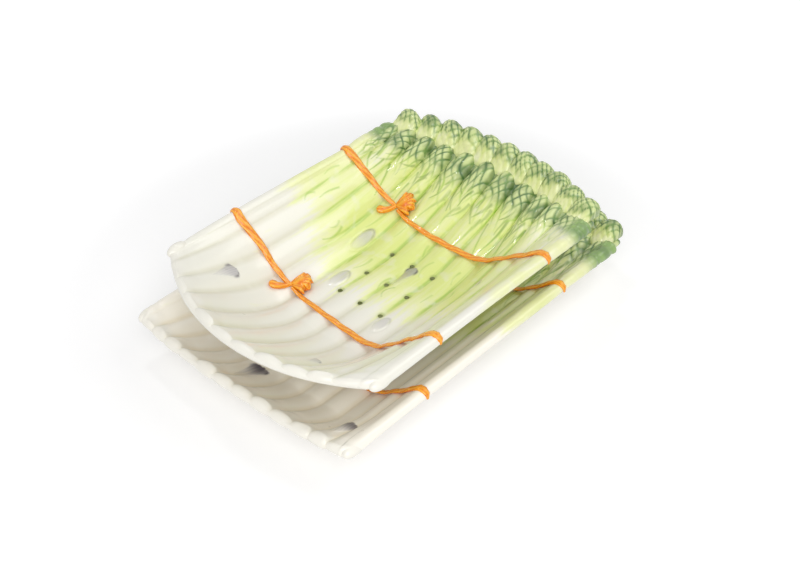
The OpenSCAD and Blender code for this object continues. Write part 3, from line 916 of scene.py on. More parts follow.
    def butt(self, k: int, h: Array, ahead: Array, u: Array, dome: Array) -> tuple[Array, Array]:
        """Swells the cut end of stalk k into an irregular knob at the front lip.

        Args:
            k: number of the stalk.
            h: height of the stalk.
            ahead: length back from the front lip.
            u: place from -1 to 1 over the stalk's width.
            dome: the stalk's rounded section.

        Returns:
            The height with the knob, and the knob's section.
        """
        rng = np.random.default_rng(self.seed * 100 + k)
        between = self.rim_side(k) == 0
        swell = self.knob_relief * (rng.uniform(0.45, 1.1) if between else 0.5)
        neck = rng.uniform(0.2, 0.5) * MM * np.exp(-((ahead - self.neck_at) / self.neck_len) ** 2)
        lean = np.clip(u + rng.uniform(-0.2, 0.2) * (1 - u**2), -1, 1)
        knob = 0.15 + 0.85 * np.clip(1 - np.abs(lean) ** rng.uniform(2.2, 3.4), 0, 1) ** 0.8 if between else dome
        at_lip = np.exp(-((ahead / self.lip_len) ** 2))
        lump = self.lump * ripple(self.seed + 9 * k, ahead / (5 * MM), u * 1.6)
        return h + (knob * (swell + lump) - dome * STALK_RELIEF) * at_lip - dome * neck, knob

    def round_lip(self, k: int, s: Array, u: Array, h: Array, knob: Array) -> tuple[Array, Array, Array]:
        """The front of stalk k, which goes down round the dish's lip.

        Args:
            k: number of the stalk.
            s: its columns' places across the dish.
            u: its columns' places from -1 to 1.
            h: height of each column where the lip begins.
            knob: the knob's section there.

        Returns:
            The upper points, the underside's two lines of points, and the angle round the lip.
        """
        angle, grid_s = np.meshgrid(np.linspace(self.lip_wrap, 0, self.lip_rows + 1)[:-1], s, indexing="ij")
        grid_u = np.broadcast_to(u, grid_s.shape)
        reach = self.lip_wrap * (1 - 0.04 * np.abs(grid_u) ** 2.5 * (self.rim_side(k) == 0))
        hold = np.sqrt(np.clip(1 - (angle / reach) ** self.lip_hold, 0, 1))
        lump = self.lump * ripple(self.seed + 3 * k, angle * 1.3, grid_u * 1.5) * knob
        sunk = 1 - self.lip_drop * np.sin(np.minimum(angle, np.pi / 2))
        top = self.form.lip(grid_s, angle, (h + lump) * sunk * hold - self.seat * (1 - hold))
        return top, self.form.lip(grid_s[:, [0, -1]], angle[:, [0, -1]], -self.seat), angle

    def build(self, k: int, material: bpy.types.Material) -> bpy.types.Object:
        """Makes stalk k, counted from the far rim.

        Args:
            k: number of the stalk.
            material: its finish.

        Returns:
            The stalk, as a closed skin on the dish.
        """
        form = self.form
        s, u = self.across(k)
        share, grid_s = np.meshgrid(self.share_rows(), s, indexing="ij")
        length = form.length_at(form.side_x(grid_s))
        start_v = form.rim_r / length
        v = start_v + (1 - start_v / self.tip_share) * share
        grid_u = np.broadcast_to(u, grid_s.shape)
        y = form.y_at(grid_s, v)
        dome, crest, flat = self.arch(k, grid_s, grid_u, v)
        values, fine = self.decoration.sample(np.clip(grid_s, -form.side_s, form.side_s), y, dome)
        values["line"] = values["line"] * (1 - 0.9 * flat)
        values["stroke"] = values["stroke"] * (1 - flat)
        values["cell"] = values["cell"] * (1 - flat) + 0.2 * flat
        h, knob = self.butt(k, self.skin + (crest - self.skin) * dome + fine, (v - start_v) * length, grid_u, dome)
        to_tip = np.clip((self.tip_share - v) * form.length_at(0.0) / self.tip_len, 0, 1)
        hold = np.sqrt(1 - (1 - to_tip) ** 2)
        front, under_front, angle = self.round_lip(k, s, u, h[0], knob[0])
        top = np.concatenate([front, form.place(grid_s, y, h * hold - self.seat * (1 - hold))])
        under = np.concatenate([under_front, form.place(grid_s[:, [0, -1]], y[:, [0, -1]], -2 * self.seat)])
        points, faces = skin_mesh(top, under)
        below = np.zeros(len(points) - top[..., 0].size)
        values = {key: np.concatenate([np.broadcast_to(value[0], angle.shape).ravel(), value.ravel(), below])
                  for key, value in values.items()}
        lay_s = np.concatenate([np.broadcast_to(s, angle.shape).ravel(), grid_s.ravel(), below])
        lay_y = np.concatenate([(y[0] - angle * form.rim_r).ravel(), y.ravel(), below])
        border = np.ones(top.shape[:2], bool)
        border[1:-1, 1:-1] = False
        border = np.concatenate([border.ravel(), below > 0])
        made = MeshData(points, faces, values, np.stack([lay_s, lay_y], -1), border)
        return made.to_object(f"{self.prefix}_stalk_{k:02d}_glazed", material)


@dataclass
class BudRow:
    """The rounded buds that stand on a dish's back edge and lean out past it."""

    form: DishForm
    prefix: str
    decoration: Decoration
    count: int
    reach: float = 89 * MM
    relief: float = 11.7 * MM
    scale_relief: float = 1.0 * MM
    skin: float = 0.25 * MM
    droop: float = 2.2 * MM
    overhang: float = 8 * MM
    start_share: float = 0.938
    crowding: tuple[float, float] = (1.22, 1.32)
    rows: int = 56
    columns: int = 66
    seed: int = 11

    def middle_x(self, k: int) -> float:
        """Distance of bud k from the middle line."""
        return 2 * self.reach / (self.count - 1) * (k - 1) - self.reach

    def swelling(self, t: Array, upper: Array) -> tuple[Array, Array, Array]:
        """How a bud swells from its neck to its blunt end.

        Args:
            t: share of the bud's length.
            upper: 1 on top of the bud, 0 at its sides, -1 underneath.

        Returns:
            Width and rise from 0 to 1, and the height, which is below 0 underneath.
        """
        width = np.clip(1 - np.abs(2 * t - 1) ** np.where(t < 0.5, 2.8, 4.2), 0, 1) ** 0.5
        rise = ramp(t, (0, 0.08, 0.25, 0.45, 0.65, 0.8, 0.92, 0.98, 1.0),
                    (0.0, 0.2, 0.4, 0.72, 0.97, 1.0, 0.84, 0.52, 0.0))
        hang = smoothstep(0.45, 0.95, t)
        return width, rise, np.where(upper >= 0, self.relief * rise * np.abs(upper) ** 0.9,
                                     -self.droop * hang * rise * np.abs(upper))

    def build(self, k: int, material: bpy.types.Material) -> bpy.types.Object:
        """Makes bud k, counted from the far rim: a closed, scaled knob with a rounded underside.

        Args:
            k: number of the bud.
            material: its finish.

        Returns:
            The bud.
        """
        form = self.form
        rng = np.random.default_rng(self.seed * 50 + k)
        half = self.reach / (self.count - 1) * rng.uniform(*self.crowding)
        x0 = self.middle_x(k)
        t, girth = np.meshgrid((1 - np.cos(np.linspace(0, np.pi, self.rows))) / 2,
                               np.linspace(0, 2 * np.pi, self.columns, endpoint=False), indexing="ij")
        y_start = form.front_y(x0) + self.start_share * form.length_at(x0)
        y_end = form.back_y(x0) + self.overhang * rng.uniform(0.8, 1.0)
        upper = np.sin(girth)
        width, rise, body = self.swelling(t, upper)
        s = form.s_at_x(np.clip(x0 + np.cos(girth) * width * half, -form.half_w, form.half_w))
        y = y_start + t * (y_end - y_start)
        fallen = smoothstep(0.6, 0.85, t) * np.clip(self.relief - body, 0, self.relief)
        pillow, line = self.decoration.scales(s * 1.15, y + 0.9 * fallen, k + 40.0)
        fine = self.scale_relief * (pillow - 0.45) * np.clip(upper * 3, 0, 1) * np.clip(rise * 2, 0, 1)
        h = self.skin + body * rng.uniform(0.86, 1.0) + fine
        points, faces = ring_mesh(form.place(s, np.minimum(y, form.back_y(form.side_x(s)) + self.overhang), h))
        values, _ = self.decoration.sample(s, y, np.ones_like(s))
        pale = 1 - smoothstep(0.25, 0.55, t + 0.1 * ripple(self.seed + k, s / (6 * MM), y / (5 * MM)))
        values.update(zone=1 - 0.92 * pale, line=line * (1 - 0.85 * pale), cell=pillow, stroke=np.zeros_like(s),
                      green=1 - 0.35 * pale, groove=np.zeros_like(s))
        lay = np.stack([s.ravel(), y.ravel()], -1)
        return cleaned(MeshData(points, faces, values, lay).to_object(f"{self.prefix}_bud_{k:02d}", material))


# Node trees

class NodeGraph:
    """Adds nodes to a material, a shader group or Geometry Nodes in few words."""

    def __init__(self, tree: bpy.types.NodeTree) -> None:
        """Works on the given tree."""
        self.tree = tree

    def feed(self, socket: Socket, value: Feed) -> None:
        """Links an input to another node's output, or sets it.

        Args:
            socket: the input.
            value: an output, a number, or a colour, whose fourth part may be left out.
        """
        if isinstance(value, Socket):
            self.tree.links.new(value, socket)
        else:
            socket.default_value = (*value, 1.0) if isinstance(value, tuple) and len(value) == 3 else value

    def node(self, kind: str, feeds: dict[str, Feed] | None = None, **options: object) -> bpy.types.Node:
        """Adds a node, sets its options and feeds its inputs.

        Args:
            kind: Blender's name for the kind of node.
            feeds: what each named input gets.
            options: the node's own settings.

        Returns:
            The new node.
        """
        node = self.tree.nodes.new(kind)
        for key, value in options.items():
            setattr(node, key, value)
        for key, value in (feeds or {}).items():
            self.feed(next(s for s in node.inputs if s.name == key and s.enabled), value)
        return node

    def maths(self, operation: str, *values: Feed, clamp: bool = False) -> Socket:
        """One step of arithmetic.

        Args:
            operation: Blender's name for it.
            values: one or two outputs or numbers.
            clamp: keep the result between 0 and 1.

        Returns:
            The result.
        """
        node = self.node("ShaderNodeMath", operation=operation, use_clamp=clamp)
        for socket, value in zip(node.inputs, values):
            self.feed(socket, value)
        return node.outputs[0]

    def times(self, first: Feed, second: Feed) -> Socket:
        """The product of two values."""
        return self.maths("MULTIPLY", first, second)

    def plus(self, first: Feed, second: Feed, clamp: bool = False) -> Socket:
        """The sum of two values."""
        return self.maths("ADD", first, second, clamp=clamp)


# Ties, made by Geometry Nodes

class CordTree(NodeGraph):
    """Geometry Nodes that wind a fibrous, flattened cord along lines of points."""

    SIZES = ("Width", "Flatness", "Fibre depth", "Fibres", "Twist", "Unevenness", "Seed")

    def __init__(self) -> None:
        """Builds the tree, with its sizes as named inputs."""
        super().__init__(bpy.data.node_groups.new("Tie cord", "GeometryNodeTree"))
        kinds = {"Geometry": "Geometry", **{name: "Float" for name in self.SIZES},
                 "Profile points": "Int", "Glaze": "Material"}
        face = self.tree.interface
        self.sockets = {name: face.new_socket(name, in_out="INPUT", socket_type=f"NodeSocket{kind}").identifier
                        for name, kind in kinds.items()}
        face.new_socket("Geometry", in_out="OUTPUT", socket_type="NodeSocketGeometry")
        given = self.node("NodeGroupInput").outputs
        line, run = self.guide(given["Geometry"])
        profile, turn = self.profile(given["Profile points"], given["Flatness"])
        girth = self.times(self.named("girth", "FLOAT"), given["Width"])
        tube = self.node("GeometryNodeCurveToMesh", {"Curve": line, "Scale": girth, "Profile Curve": profile})
        tube.inputs["Fill Caps"].default_value = True
        fibre, height = self.fibres(given, run, turn)
        push = self.node("ShaderNodeVectorMath", operation="SCALE")
        self.feed(push.inputs[0], self.node("GeometryNodeInputNormal").outputs["Normal"])
        self.feed(push.inputs["Scale"], height)
        shaped = self.node("GeometryNodeSetPosition", {"Geometry": tube.outputs["Mesh"],
                                                       "Offset": push.outputs["Vector"]}).outputs["Geometry"]
        shaped = self.stored(self.stored(shaped, "fibre", fibre), "crown", self.maths("COSINE", turn))
        for kind in ("GeometryNodeSetShadeSmooth", "GeometryNodeRealizeInstances"):
            shaped = self.node(kind, {"Geometry": shaped}).outputs["Geometry"]
        shaped = self.node("GeometryNodeSetMaterial", {"Geometry": shaped, "Material": given["Glaze"]})
        self.node("NodeGroupOutput", {"Geometry": shaped.outputs["Geometry"]})

    def named(self, name: str, kind: str) -> Socket:
        """Reads a named attribute of the line.

        Args:
            name: its name.
            kind: Blender's name for the kind of value.

        Returns:
            The attribute's value.
        """
        node = self.node("GeometryNodeInputNamedAttribute", data_type=kind)
        node.inputs["Name"].default_value = name
        return node.outputs["Attribute"]

    def stored(self, geometry: Socket, name: str, value: Socket) -> Socket:
        """Stores a value on the geometry's points for the finish.

        Args:
            geometry: what carries it.
            name: its name in the finish.
            value: the value.

        Returns:
            The geometry with the value.
        """
        node = self.node("GeometryNodeStoreNamedAttribute", {"Geometry": geometry, "Value": value},
                         data_type="FLOAT")
        node.inputs["Name"].default_value = name
        return node.outputs["Geometry"]

    def captured(self, geometry: Socket, value: Socket) -> tuple[Socket, Socket]:
        """Keeps a value with the points of a curve while they are swept.

        Args:
            geometry: the curve.
            value: the value.

        Returns:
            The curve, and the value as the later steps read it.
        """
        node = self.node("GeometryNodeCaptureAttribute", {"Geometry": geometry})
        node.capture_items.new("FLOAT", "kept")
        self.feed(node.inputs["kept"], value)
        return node.outputs["Geometry"], node.outputs["kept"]

    def guide(self, mesh: Socket) -> tuple[Socket, Socket]:
        """Turns lines of points into curves that know which way is up.

        Args:
            mesh: the lines.

        Returns:
            The curves, and the length that each point lies along its curve.
        """
        line = self.node("GeometryNodeMeshToCurve", {"Mesh": mesh}).outputs["Curve"]
        free = self.node("GeometryNodeSetCurveNormal", {"Curve": line}, mode="FREE")
        self.feed(free.inputs["Normal"], self.named("up", "FLOAT_VECTOR"))
        return self.captured(free.outputs["Curve"], self.node("GeometryNodeSplineParameter").outputs["Length"])

    def profile(self, points: Socket, flatness: Socket) -> tuple[Socket, Socket]:
        """The flattened round section of a cord.

        Args:
            points: how many points it has.
            flatness: its height as a share of its width.

        Returns:
            The section, and each point's angle round it.
        """
        circle = self.node("GeometryNodeCurvePrimitiveCircle", {"Resolution": points})
        circle.inputs["Radius"].default_value = 0.5
        angle = self.times(self.node("GeometryNodeSplineParameter").outputs["Factor"], 2 * math.pi)
        kept, turn = self.captured(circle.outputs["Curve"], angle)
        tall = self.times(self.times(self.maths("COSINE", angle), 0.5), flatness)
        flat = self.node("ShaderNodeCombineXYZ", {"X": tall, "Y": self.times(self.maths("SINE", angle), 0.5)})
        section = self.node("GeometryNodeSetPosition", {"Geometry": kept, "Position": flat.outputs["Vector"]})
        return section.outputs["Geometry"], turn

    def fibres(self, given: Mapping[str, Socket], run: Socket, turn: Socket) -> tuple[Socket, Socket]:
        """The fibres that wind round the cord, with stray ones and lumps.

        Args:
            given: the tree's inputs.
            run: length along the cord.
            turn: angle round it.

        Returns:
            0 in a furrow to 1 on a fibre's crest, and the height over the smooth cord.
        """
        noise = self.node("ShaderNodeTexNoise", {"W": given["Seed"], "Scale": 260.0, "Detail": 1.0},
                          noise_dimensions="4D").outputs["Fac"]
        wound = self.plus(self.times(turn, given["Fibres"]), self.times(run, given["Twist"]))
        strayed = self.plus(wound, self.times(noise, 3.0))
        fibre = self.maths("ABSOLUTE", self.maths("SINE", self.times(strayed, 0.5)))
        lump = self.times(self.maths("SUBTRACT", noise, 0.5), given["Unevenness"])
        return fibre, self.plus(self.times(self.maths("SUBTRACT", fibre, 0.6), given["Fibre depth"]), lump)


@dataclass
class CordLine:
    """One line of points for a cord: its places, which way is up, and how thick it is there."""

    points: Array
    up: Array
    girth: Array


@dataclass(frozen=True)
class CordLook:
    """Sizes of a cord's winding."""

    width: float
    flatness: float
    fibre_depth: float = 0.26 * MM
    fibres: float = 5.0
    twist: float = 420.0
    unevenness: float = 0.7 * MM
    profile_points: int = 30


def wind_cord(tree: CordTree, name: str, lines: Sequence[CordLine], look: CordLook,
              material: bpy.types.Material, seed: float) -> bpy.types.Object:
    """Winds cords along lines and returns them as one plain mesh.

    Args:
        tree: the Geometry Nodes.
        name: the piece's name.
        lines: where the cords run.
        look: sizes of the winding.
        material: the finish.
        seed: picks the unevenness.

    Returns:
        The finished piece.
    """
    mesh = bpy.data.meshes.new(name + "_lines")
    edges, start = [], 0
    for line in lines:
        edges += [(start + i, start + i + 1) for i in range(len(line.points) - 1)]
        start += len(line.points)
    mesh.from_pydata(np.concatenate([line.points for line in lines]).tolist(), edges, [])
    store(mesh, "up", np.concatenate([unit(line.up) for line in lines]), "FLOAT_VECTOR")
    store(mesh, "girth", np.concatenate([line.girth for line in lines]))
    guide = shown(name + "_guide", mesh)
    modifier = guide.modifiers.new("Cord", "NODES")
    modifier.node_group = tree.tree
    sizes = (look.width, look.flatness, look.fibre_depth, look.fibres, look.twist, look.unevenness, seed)
    for key, value in (*zip(tree.SIZES, sizes), ("Profile points", look.profile_points), ("Glaze", material)):
        modifier[tree.sockets[key]] = value
    made = worked_out(guide)
    made.name = name
    bpy.data.objects.remove(guide)
    return cleaned(shown(name, made))


@dataclass
class Tie:
    """A clay tie across the stalks: two strands, a bunched knot and its tail."""

    form: DishForm
    prefix: str
    y: float
    far_calm: float
    seed: int
    knot_x: float = -42 * MM
    knot_offset: float = 7.5 * MM
    pinch_offset: float = 5.5 * MM
    fan_turns: tuple[float, ...] = (84, 68, 53, 38, 22, 4)
    fan_reach: tuple[float, ...] = (13.6, 15.2, 16.0, 16.0, 15.2, 13.8)
    fan_height: float = 6.0 * MM
    tail_len: float = 18 * MM
    tail_turn: float = math.radians(232)
    lift: float = 0.7 * MM
    sway: float = 0.9 * MM
    slack: float = 2.5 * MM
    bridging: float = 0.35 * MM
    tautness: float = 1.3 * MM
    hook: float = math.radians(125)
    strand: CordLook = CordLook(5.5 * MM, 0.5)
    knot: CordLook = CordLook(4.9 * MM, 0.9, fibre_depth=0.22 * MM, fibres=4.0, unevenness=0.5 * MM)
    tail: CordLook = CordLook(6.0 * MM, 0.7)

    def crest(self, s: Array) -> Array:
        """Height of the stalks under the tie, round the rims too.

        Args:
            s: length across the dish.

        Returns:
            The height.
        """
        near_rim = smoothstep(self.form.side_s - 12 * MM, self.form.side_s, np.abs(s))
        stalks_in = (s + self.form.side_s) * self.form.stalks / (2 * self.form.side_s)
        calm = self.far_calm * np.clip(1 - (stalks_in - 0.5) / CALM_STALKS, 0, 1)
        crest = STALK_RELIEF * (1 - calm) + (RIM_RELIEF - STALK_RELIEF) * near_rim
        return crest * self.form.rim_fall(s)

    def over(self, s: Array, y: Array, h: Array) -> tuple[Array, Array]:
        """Points over the stalks' crests.

        Args:
            s: length across the dish.
            y: place along the dish.
            h: height over the crests.

        Returns:
            The points, and which way is up there.
        """
        base, top = self.form.place(s, y, self.crest(s)), self.form.place(s, y, self.crest(s) + 1 * MM)
        up = unit(top - base)
        return base + np.asarray(h)[..., None] * up, up

    def strand_line(self, s_from: float, s_to: float, far: bool) -> CordLine:
        """One strand between the knot's pinch and a rim.

        Args:
            s_from: where it starts.
            s_to: where it ends.
            far: whether it is the one from the far rim.

        Returns:
            The strand's line.
        """
        form = self.form
        t = np.linspace(0, 1, 90)
        s = s_from + (s_to - s_from) * t
        wander = self.sway * ripple(self.seed + far, t * 5, t * 2)
        pull = (self.knot_offset - self.pinch_offset) * np.exp(-np.abs(s - self.pinch()[0]) / (7 * MM))
        bridge = self.bridging * np.cos(2 * np.pi * form.stalks * (s + form.shift) / (2 * form.side_s))
        bend_at = form.floor_half + form.bend_len / 2
        taut = self.tautness * np.exp(-(((np.abs(s) - bend_at) / (13 * MM)) ** 2))
        h = self.lift + 0.25 * MM * ripple(self.seed + 7 + far, t * 6, t) - bridge + taut
        sag = 0.0 if far else -self.slack * np.sin(np.pi * np.clip(t * 1.1, 0, 1))
        y = self.y + sag + wander * smoothstep(0, 0.1, t) * smoothstep(1, 0.9, t) + pull
        points, up = self.over(s, y, h)
        if far:
            girth = ramp(t, (0, 0.05, 0.25, 0.6, 0.9, 1.0), (0.75, 1.15, 1.2, 0.95, 0.72, 0.6))
        else:
            girth = ramp(t, (0, 0.1, 0.4, 0.75, 0.93, 0.985, 1.0), (0.6, 0.7, 0.88, 0.8, 0.98, 0.88, 0.35))
        return CordLine(points, up, girth)

    def pinch(self) -> tuple[float, float]:
        """Place where all the cords meet, beside the knot."""
        return self.knot_x - self.pinch_offset, self.y + self.knot_offset - 4.5 * MM

    def knot_lines(self) -> list[CordLine]:
        """Cords that fan out from the pinch, hump up and turn under at the other side.

        Returns:
            The lines of the fan, and a short thick one under it.
        """
        s0, y0 = self.pinch()
        lines = []
        t = np.linspace(0, 1, 30)
        for i, (turn, reach) in enumerate(zip(self.fan_turns, self.fan_reach)):
            a, reach = math.radians(turn), reach * MM
            bend = 0.8 * MM * math.sin(i * 2.1)
            s = s0 + reach * np.sin(t * np.pi / 2) * math.cos(a) - bend * np.sin(np.pi * t) * math.sin(a)
            y = y0 + reach * np.sin(t * np.pi / 2) * math.sin(a) * 0.95 + bend * np.sin(np.pi * t) * math.cos(a)
            crown = 1 - 0.12 * abs(i - 2.4)
            h = 0.8 * MM + self.fan_height * crown * np.sin(np.pi * np.clip(t * 0.93 + 0.03, 0, 1)) ** 0.7
            points, up = self.over(s, y, h)
            girth = ramp(t, (0, 0.25, 0.6, 0.85, 0.96, 1.0), (0.5, 0.7, 0.92, 0.98, 0.8, 0.45))
            lines.append(CordLine(points, up, girth))
        t = np.linspace(0, 1, 18)
        points, up = self.over(s0 + t * 11 * MM, y0 + t * 9.5 * MM, 1.6 * MM + 1.6 * MM * np.sin(np.pi * t))
        lines.append(CordLine(points, up, ramp(t, (0, 0.5, 0.85, 1), (0.8, 2.3, 1.9, 0.9))))
        return lines

    def tail_line(self) -> CordLine:
        """The loose end that leaves the pinch, fat and rounded at its tip.

        Returns:
            Its line.
        """
        s0, y0 = self.pinch()
        t = np.linspace(0, 1, 36)
        s = s0 + self.tail_len * t * math.cos(self.tail_turn) + 1.6 * MM * np.sin(np.pi * t)
        y = y0 + self.tail_len * t * math.sin(self.tail_turn) - 1.2 * MM * np.sin(np.pi * t)
        points, up = self.over(s, y, 1.2 * MM + 0.5 * MM * np.sin(np.pi * t))
        return CordLine(points, up, ramp(t, (0, 0.2, 0.6, 0.85, 0.96, 1.0), (0.55, 0.62, 0.9, 1.0, 0.7, 0.2)))

    def build(self, tree: CordTree, material: bpy.types.Material) -> list[tuple[bpy.types.Object, str]]:
        """Makes the tie's pieces.

        Args:
            tree: the Geometry Nodes that wind cords.
            material: the finish.

        Returns:
            Each piece with the name of the node that it stands for.
        """
        side = self.form.side_s + self.form.rim_r * self.hook
        s0, _ = self.pinch()
        parts = {
            "far_strand": ([self.strand_line(-side, s0 + 1.5 * MM, True)], self.strand),
            "knot": (self.knot_lines(), self.knot),
            "tail": ([self.tail_line()], self.tail),
            "near_strand": ([self.strand_line(s0 + 3.5 * MM, side, False)], self.strand),
        }
        made = []
        for i, (part, (lines, look)) in enumerate(parts.items()):
            node = f"{self.prefix}_{part}"
            piece = wind_cord(tree, node + "_wound", lines, look, material, self.seed * 10.0 + i)
            made.append((piece, node))
        return made


# Finishes

class ShaderGraph(NodeGraph):
    """Adds what the finishes use: stored values, smooth ramps and blended colours."""

    def value(self, name: str) -> Socket:
        """Reads a value stored at the piece's points."""
        return self.node("ShaderNodeAttribute", attribute_name=name).outputs["Fac"]

    def between(self, value: Feed, low: float, high: float, to_low: float = 0.0, to_high: float = 1.0) -> Socket:
        """A smooth ramp of a value between two levels.

        Args:
            value: the value.
            low: where the ramp starts.
            high: where it ends.
            to_low: the result at its start.
            to_high: the result at its end.

        Returns:
            The result.
        """
        return self.node("ShaderNodeMapRange", {"Value": value, "From Min": low, "From Max": high,
                                                "To Min": to_low, "To Max": to_high},
                         interpolation_type="SMOOTHSTEP").outputs["Result"]

    def blend(self, share: Feed, first: Feed, second: Feed) -> Socket:
        """A blend of two colours.

        Args:
            share: how much of the second.
            first: the first colour.
            second: the second colour.

        Returns:
            The blended colour.
        """
        node = self.node("ShaderNodeMix", data_type="RGBA")
        for index, value in ((0, share), (6, first), (7, second)):
            self.feed(node.inputs[index], value)
        return node.outputs[2]

    def seen(self) -> Socket:
        """1 for rays of the camera and of mirror images, 0 for rays of light."""
        path = self.node("ShaderNodeLightPath").outputs
        return self.maths("MAXIMUM", path["Is Camera Ray"], path["Is Glossy Ray"])


def emptied(owner: bpy.types.Material | bpy.types.World) -> ShaderGraph:
    """Clears the nodes of a material or a world.

    Args:
        owner: the material or world.

    Returns:
        The graph that fills it.
    """
    owner.use_nodes = True
    owner.node_tree.nodes.clear()
    return ShaderGraph(owner.node_tree)


def glaze_drift_group() -> bpy.types.NodeTree:
    """Makes the unevenness of hand-laid glaze: brush drift along the stalks, mottling and fine pits.

    Returns:
        The node group, which all the glazes share.
    """
    tree = bpy.data.node_groups.new("Glaze drift", "ShaderNodeTree")
    for name, way, kind in (("Lay", "INPUT", "Vector"), ("Brush across", "INPUT", "Float"),
                            ("Brush along", "INPUT", "Float"), ("Mottle size", "INPUT", "Float"),
                            ("Brush", "OUTPUT", "Float"), ("Mottle", "OUTPUT", "Float"),
                            ("Height", "OUTPUT", "Float")):
        tree.interface.new_socket(name, in_out=way, socket_type=f"NodeSocket{kind}")
    g = ShaderGraph(tree)
    given = g.node("NodeGroupInput").outputs
    lay, across = given["Lay"], given["Brush across"]
    stretched = g.node("ShaderNodeVectorMath", operation="MULTIPLY")
    scale = g.node("ShaderNodeCombineXYZ", {"X": across, "Y": given["Brush along"], "Z": across})
    g.feed(stretched.inputs[0], lay)
    g.feed(stretched.inputs[1], scale.outputs[0])
    brush, mottle, pits = (g.node("ShaderNodeTexNoise", feeds).outputs["Fac"] for feeds in (
        {"Vector": stretched.outputs[0], "Scale": 1.0, "Detail": 3.0, "Roughness": 0.55, "Distortion": 0.4},
        {"Vector": lay, "Scale": given["Mottle size"], "Detail": 2.5, "Roughness": 0.5},
        {"Vector": lay, "Scale": 420.0, "Detail": 1.5}))
    height = g.plus(g.times(mottle, 0.8), g.times(pits, 0.2))
    g.node("NodeGroupOutput", {"Brush": brush, "Mottle": mottle, "Height": height})
    return tree


@dataclass(frozen=True)
class Glaze:
    """What all the glazes have in common: a clear, lightly pitted coat over paint."""

    name: str
    roughness: float = 0.26
    lay_map: str = ""
    brush: tuple[float, float] = (90.0, 90.0)
    mottle: float = 110.0
    pits: float = 0.6
    pit_depth: float = 0.2 * MM
    coat: float = 0.25
    coat_roughness: float = 0.1

    def paint(self, g: ShaderGraph, brush: Socket, mottle: Socket) -> tuple[Socket, Socket]:
        """Adds the paint, which each glaze has of its own, and returns its colour and roughness."""
        raise NotImplementedError(self.name)

    def material(self, drift: bpy.types.NodeTree) -> bpy.types.Material:
        """Builds the material.

        Args:
            drift: the shared unevenness.

        Returns:
            The material.
        """
        material = bpy.data.materials.new(self.name)
        g = emptied(material)
        if self.lay_map:
            lay = g.node("ShaderNodeUVMap", uv_map=self.lay_map).outputs["UV"]
        else:
            lay = g.node("ShaderNodeTexCoord").outputs["Object"]
        uneven = g.node("ShaderNodeGroup", {"Lay": lay, "Brush across": self.brush[0], "Brush along": self.brush[1],
                                            "Mottle size": self.mottle}, node_tree=drift).outputs
        colour, rough = self.paint(g, uneven["Brush"], uneven["Mottle"])
        bump = g.node("ShaderNodeBump", {"Height": uneven["Height"], "Strength": self.pits,
                                         "Distance": self.pit_depth})
        shader = g.node("ShaderNodeBsdfPrincipled", {
            "Base Color": colour, "Roughness": rough, "Normal": bump.outputs["Normal"],
            "Coat Weight": self.coat, "Coat Roughness": self.coat_roughness})
        g.node("ShaderNodeOutputMaterial", {"Surface": shader.outputs["BSDF"]})
        return material


